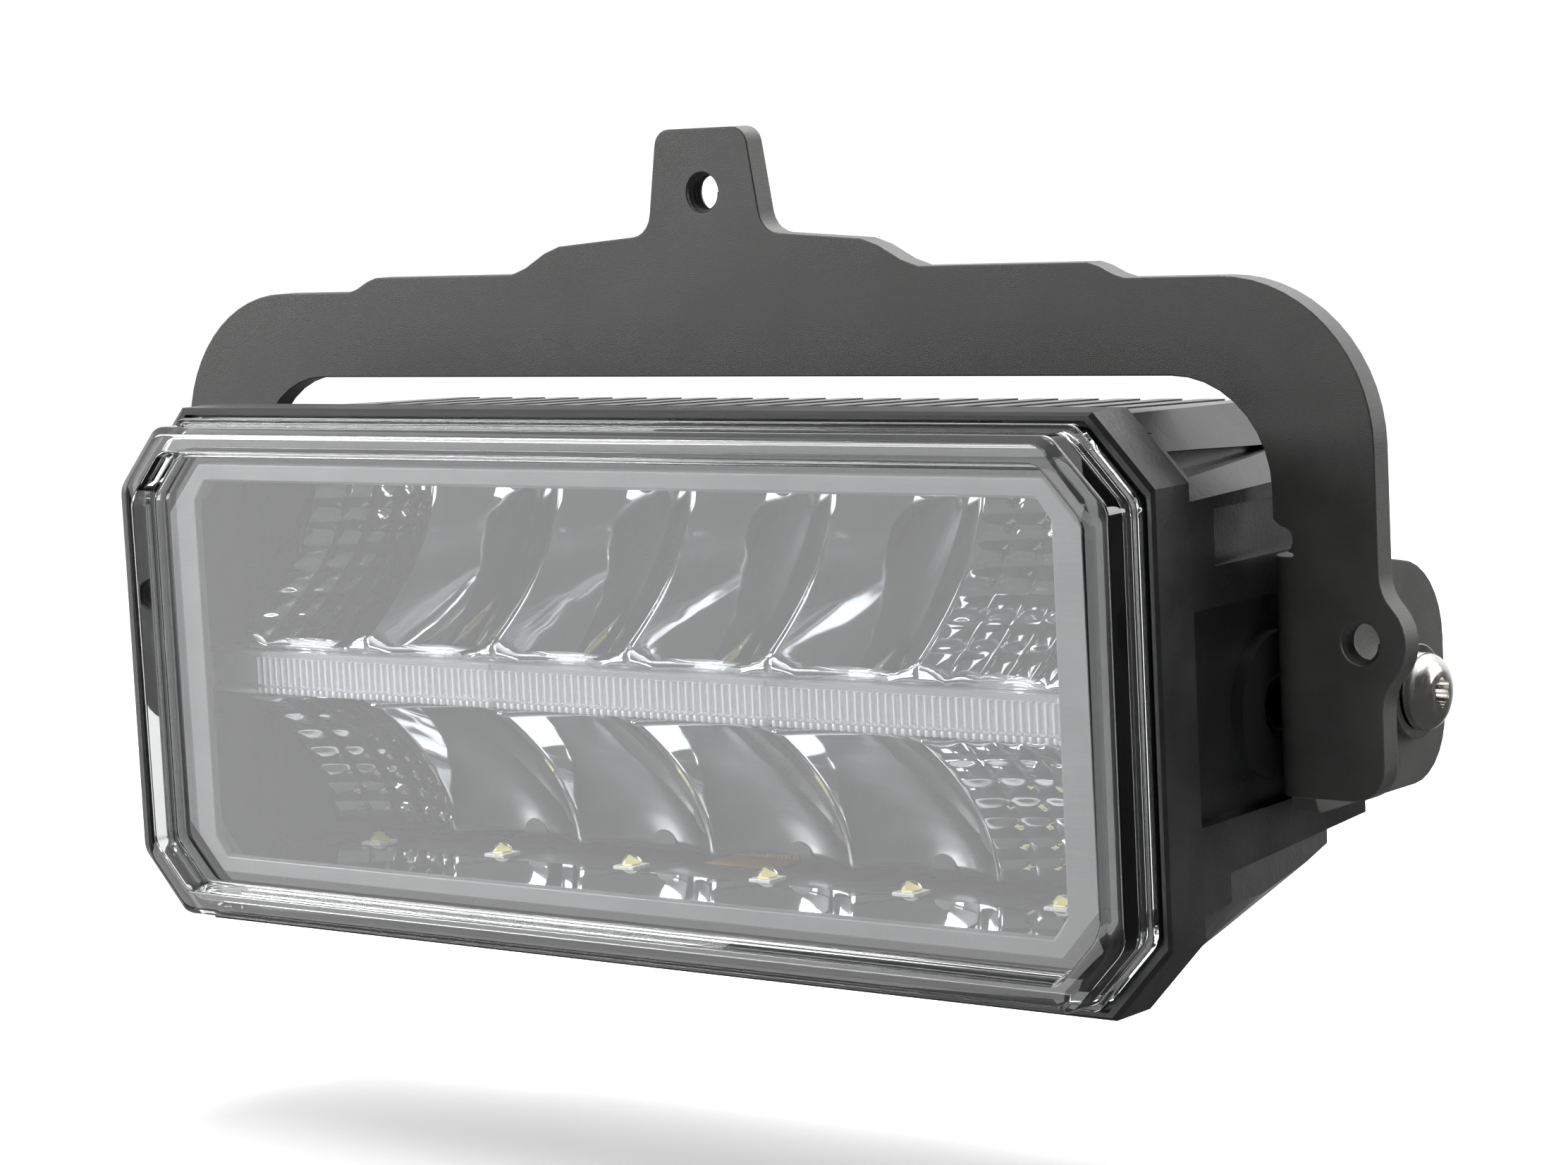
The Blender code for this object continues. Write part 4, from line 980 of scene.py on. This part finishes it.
# ------------------------------------------------------------------ studio
AZIMUTH, ELEVATION, ROLL = radians(38.15), radians(6.39), radians(-2.82)
VIEW_DISTANCE = 0.7171
VIEW_TARGET = STATION + Vector((0.0515, 0.0, 0.0232))
FOCAL_MM, SENSOR_MM = 92.64, 36.0
FLOOR_SIZE = 2.2
FLOOR_DROP = 0.040              # room below the lamp for its nose at full tilt
FLOOR_FRONT = -0.80
ROOM_AXIS = (-0.45, 0.45, 0.77)     # the way the white end of the room lies
ROOM_FRONT, ROOM_REAR = 0.07, 1.08  # brightness at the dim and at the white end
ROOM_FADE = (0.05, 0.60)            # where along the axis the one turns into the other
WHITE = (1.0, 1.0, 1.0, 1.0)
AIM = STATION + Vector((0, 0.03, 0))
AREA_LIGHTS = (                 # name, place, what it points at, width and height, watts
    ("front_box", STATION + Vector((-0.54, -0.64, -0.12)), STATION, (0.56, 0.34), 1.45),
    ("fill_box", STATION + Vector((-0.84, -0.60, 0.40)), STATION, (0.55, 0.40), 9),
    ("floor_wash", (0.3, 1.2, 1.3), (0.3, 1.1, 0), (1.8, 1.0), 26),
    ("top_box", AIM + Vector((0.1, 0.25, 0.9)), AIM, (1.2, 0.5), 14),
    ("rear_box", AIM + Vector((0.8, 0.75, 0.35)), AIM, (0.5, 0.6), 5),
)


def add_camera():
    back = Vector((sin(AZIMUTH) * cos(ELEVATION), -cos(AZIMUTH) * cos(ELEVATION),
                   sin(ELEVATION)))
    across = Vector((cos(AZIMUTH), sin(AZIMUTH), 0))
    upward = back.cross(across)
    right = cos(ROLL) * across + sin(ROLL) * upward
    up = cos(ROLL) * upward - sin(ROLL) * across
    data = bpy.data.cameras.new("camera")
    data.lens = FOCAL_MM
    data.sensor_width = SENSOR_MM
    data.clip_start = 0.01
    camera = bpy.data.objects.new("camera", data)
    bpy.context.collection.objects.link(camera)
    place = Matrix((right, up, back)).transposed().to_4x4()
    place.translation = VIEW_TARGET + back * VIEW_DISTANCE
    camera.matrix_world = place
    bpy.context.scene.camera = camera


def add_area_light(name, place, aim, size, power):
    data = bpy.data.lights.new(name, "AREA")
    data.shape = "RECTANGLE"
    data.size, data.size_y = size
    data.energy = power
    light = bpy.data.objects.new(name, data)
    bpy.context.collection.objects.link(light)
    light.location = place
    light.rotation_mode = "QUATERNION"
    light.rotation_quaternion = (Vector(place) - Vector(aim)).to_track_quat("Z", "Y")


def add_floor():
    """Pale floor below the lamp, left out of reflections and of what the lens shows."""
    bm = bmesh.new()
    corners = bmesh.ops.create_grid(bm, x_segments=1, y_segments=1, size=0.5)["verts"]
    spread = Matrix.Diagonal((FLOOR_SIZE, FLOOR_SIZE, 1.0, 1.0))
    middle = (0, FLOOR_FRONT + FLOOR_SIZE / 2, cad_box[0].z - FLOOR_DROP)
    bmesh.ops.transform(bm, verts=corners, matrix=Matrix.Translation(middle) @ spread)
    mesh = bpy.data.meshes.new("floor")
    bm.to_mesh(mesh)
    bm.free()
    floor = bpy.data.objects.new("floor", mesh)
    bpy.context.collection.objects.link(floor)
    pale = Finish("floor_paint", (0.93, 0.93, 0.93), 0.7, specular=0.2)
    pale.tint(pale.noise(3.0), (0.91, 0.91, 0.91))
    mesh.materials.append(pale.material)
    floor.visible_glossy = False
    floor.visible_transmission = False


def light_studio():
    """Five area lights, and a room that is white to the camera, dim in front otherwise."""
    world = bpy.data.worlds.new("studio")
    world.use_nodes = True
    tree = world.node_tree
    backdrop = tree.nodes["Background"]
    coordinates = tree.nodes.new("ShaderNodeTexCoord")
    depth = tree.nodes.new("ShaderNodeVectorMath")
    depth.operation = "DOT_PRODUCT"
    depth.inputs[1].default_value = ROOM_AXIS
    tree.links.new(coordinates.outputs["Generated"], depth.inputs[0])
    fade = tree.nodes.new("ShaderNodeMapRange")
    fade.interpolation_type = "SMOOTHSTEP"
    fade.inputs["From Min"].default_value = ROOM_FADE[0]
    fade.inputs["From Max"].default_value = ROOM_FADE[1]
    fade.inputs["To Min"].default_value = ROOM_FRONT
    fade.inputs["To Max"].default_value = ROOM_REAR
    tree.links.new(depth.outputs["Value"], fade.inputs["Value"])
    tree.links.new(fade.outputs["Result"], backdrop.inputs["Strength"])
    backdrop.inputs["Color"].default_value = WHITE
    white = tree.nodes.new("ShaderNodeBackground")
    white.inputs["Color"].default_value = WHITE
    white.inputs["Strength"].default_value = ROOM_REAR
    path = tree.nodes.new("ShaderNodeLightPath")
    either = tree.nodes.new("ShaderNodeMixShader")
    tree.links.new(path.outputs["Is Camera Ray"], either.inputs[0])
    tree.links.new(backdrop.outputs[0], either.inputs[1])
    tree.links.new(white.outputs[0], either.inputs[2])
    tree.links.new(either.outputs[0], tree.nodes["World Output"].inputs["Surface"])
    bpy.context.scene.world = world
    for light in AREA_LIGHTS:
        add_area_light(*light)


build_object()
add_camera()
add_floor()
light_studio()

scene = bpy.context.scene
scene.view_settings.view_transform = "Standard"

bpy.context.view_layer.update()
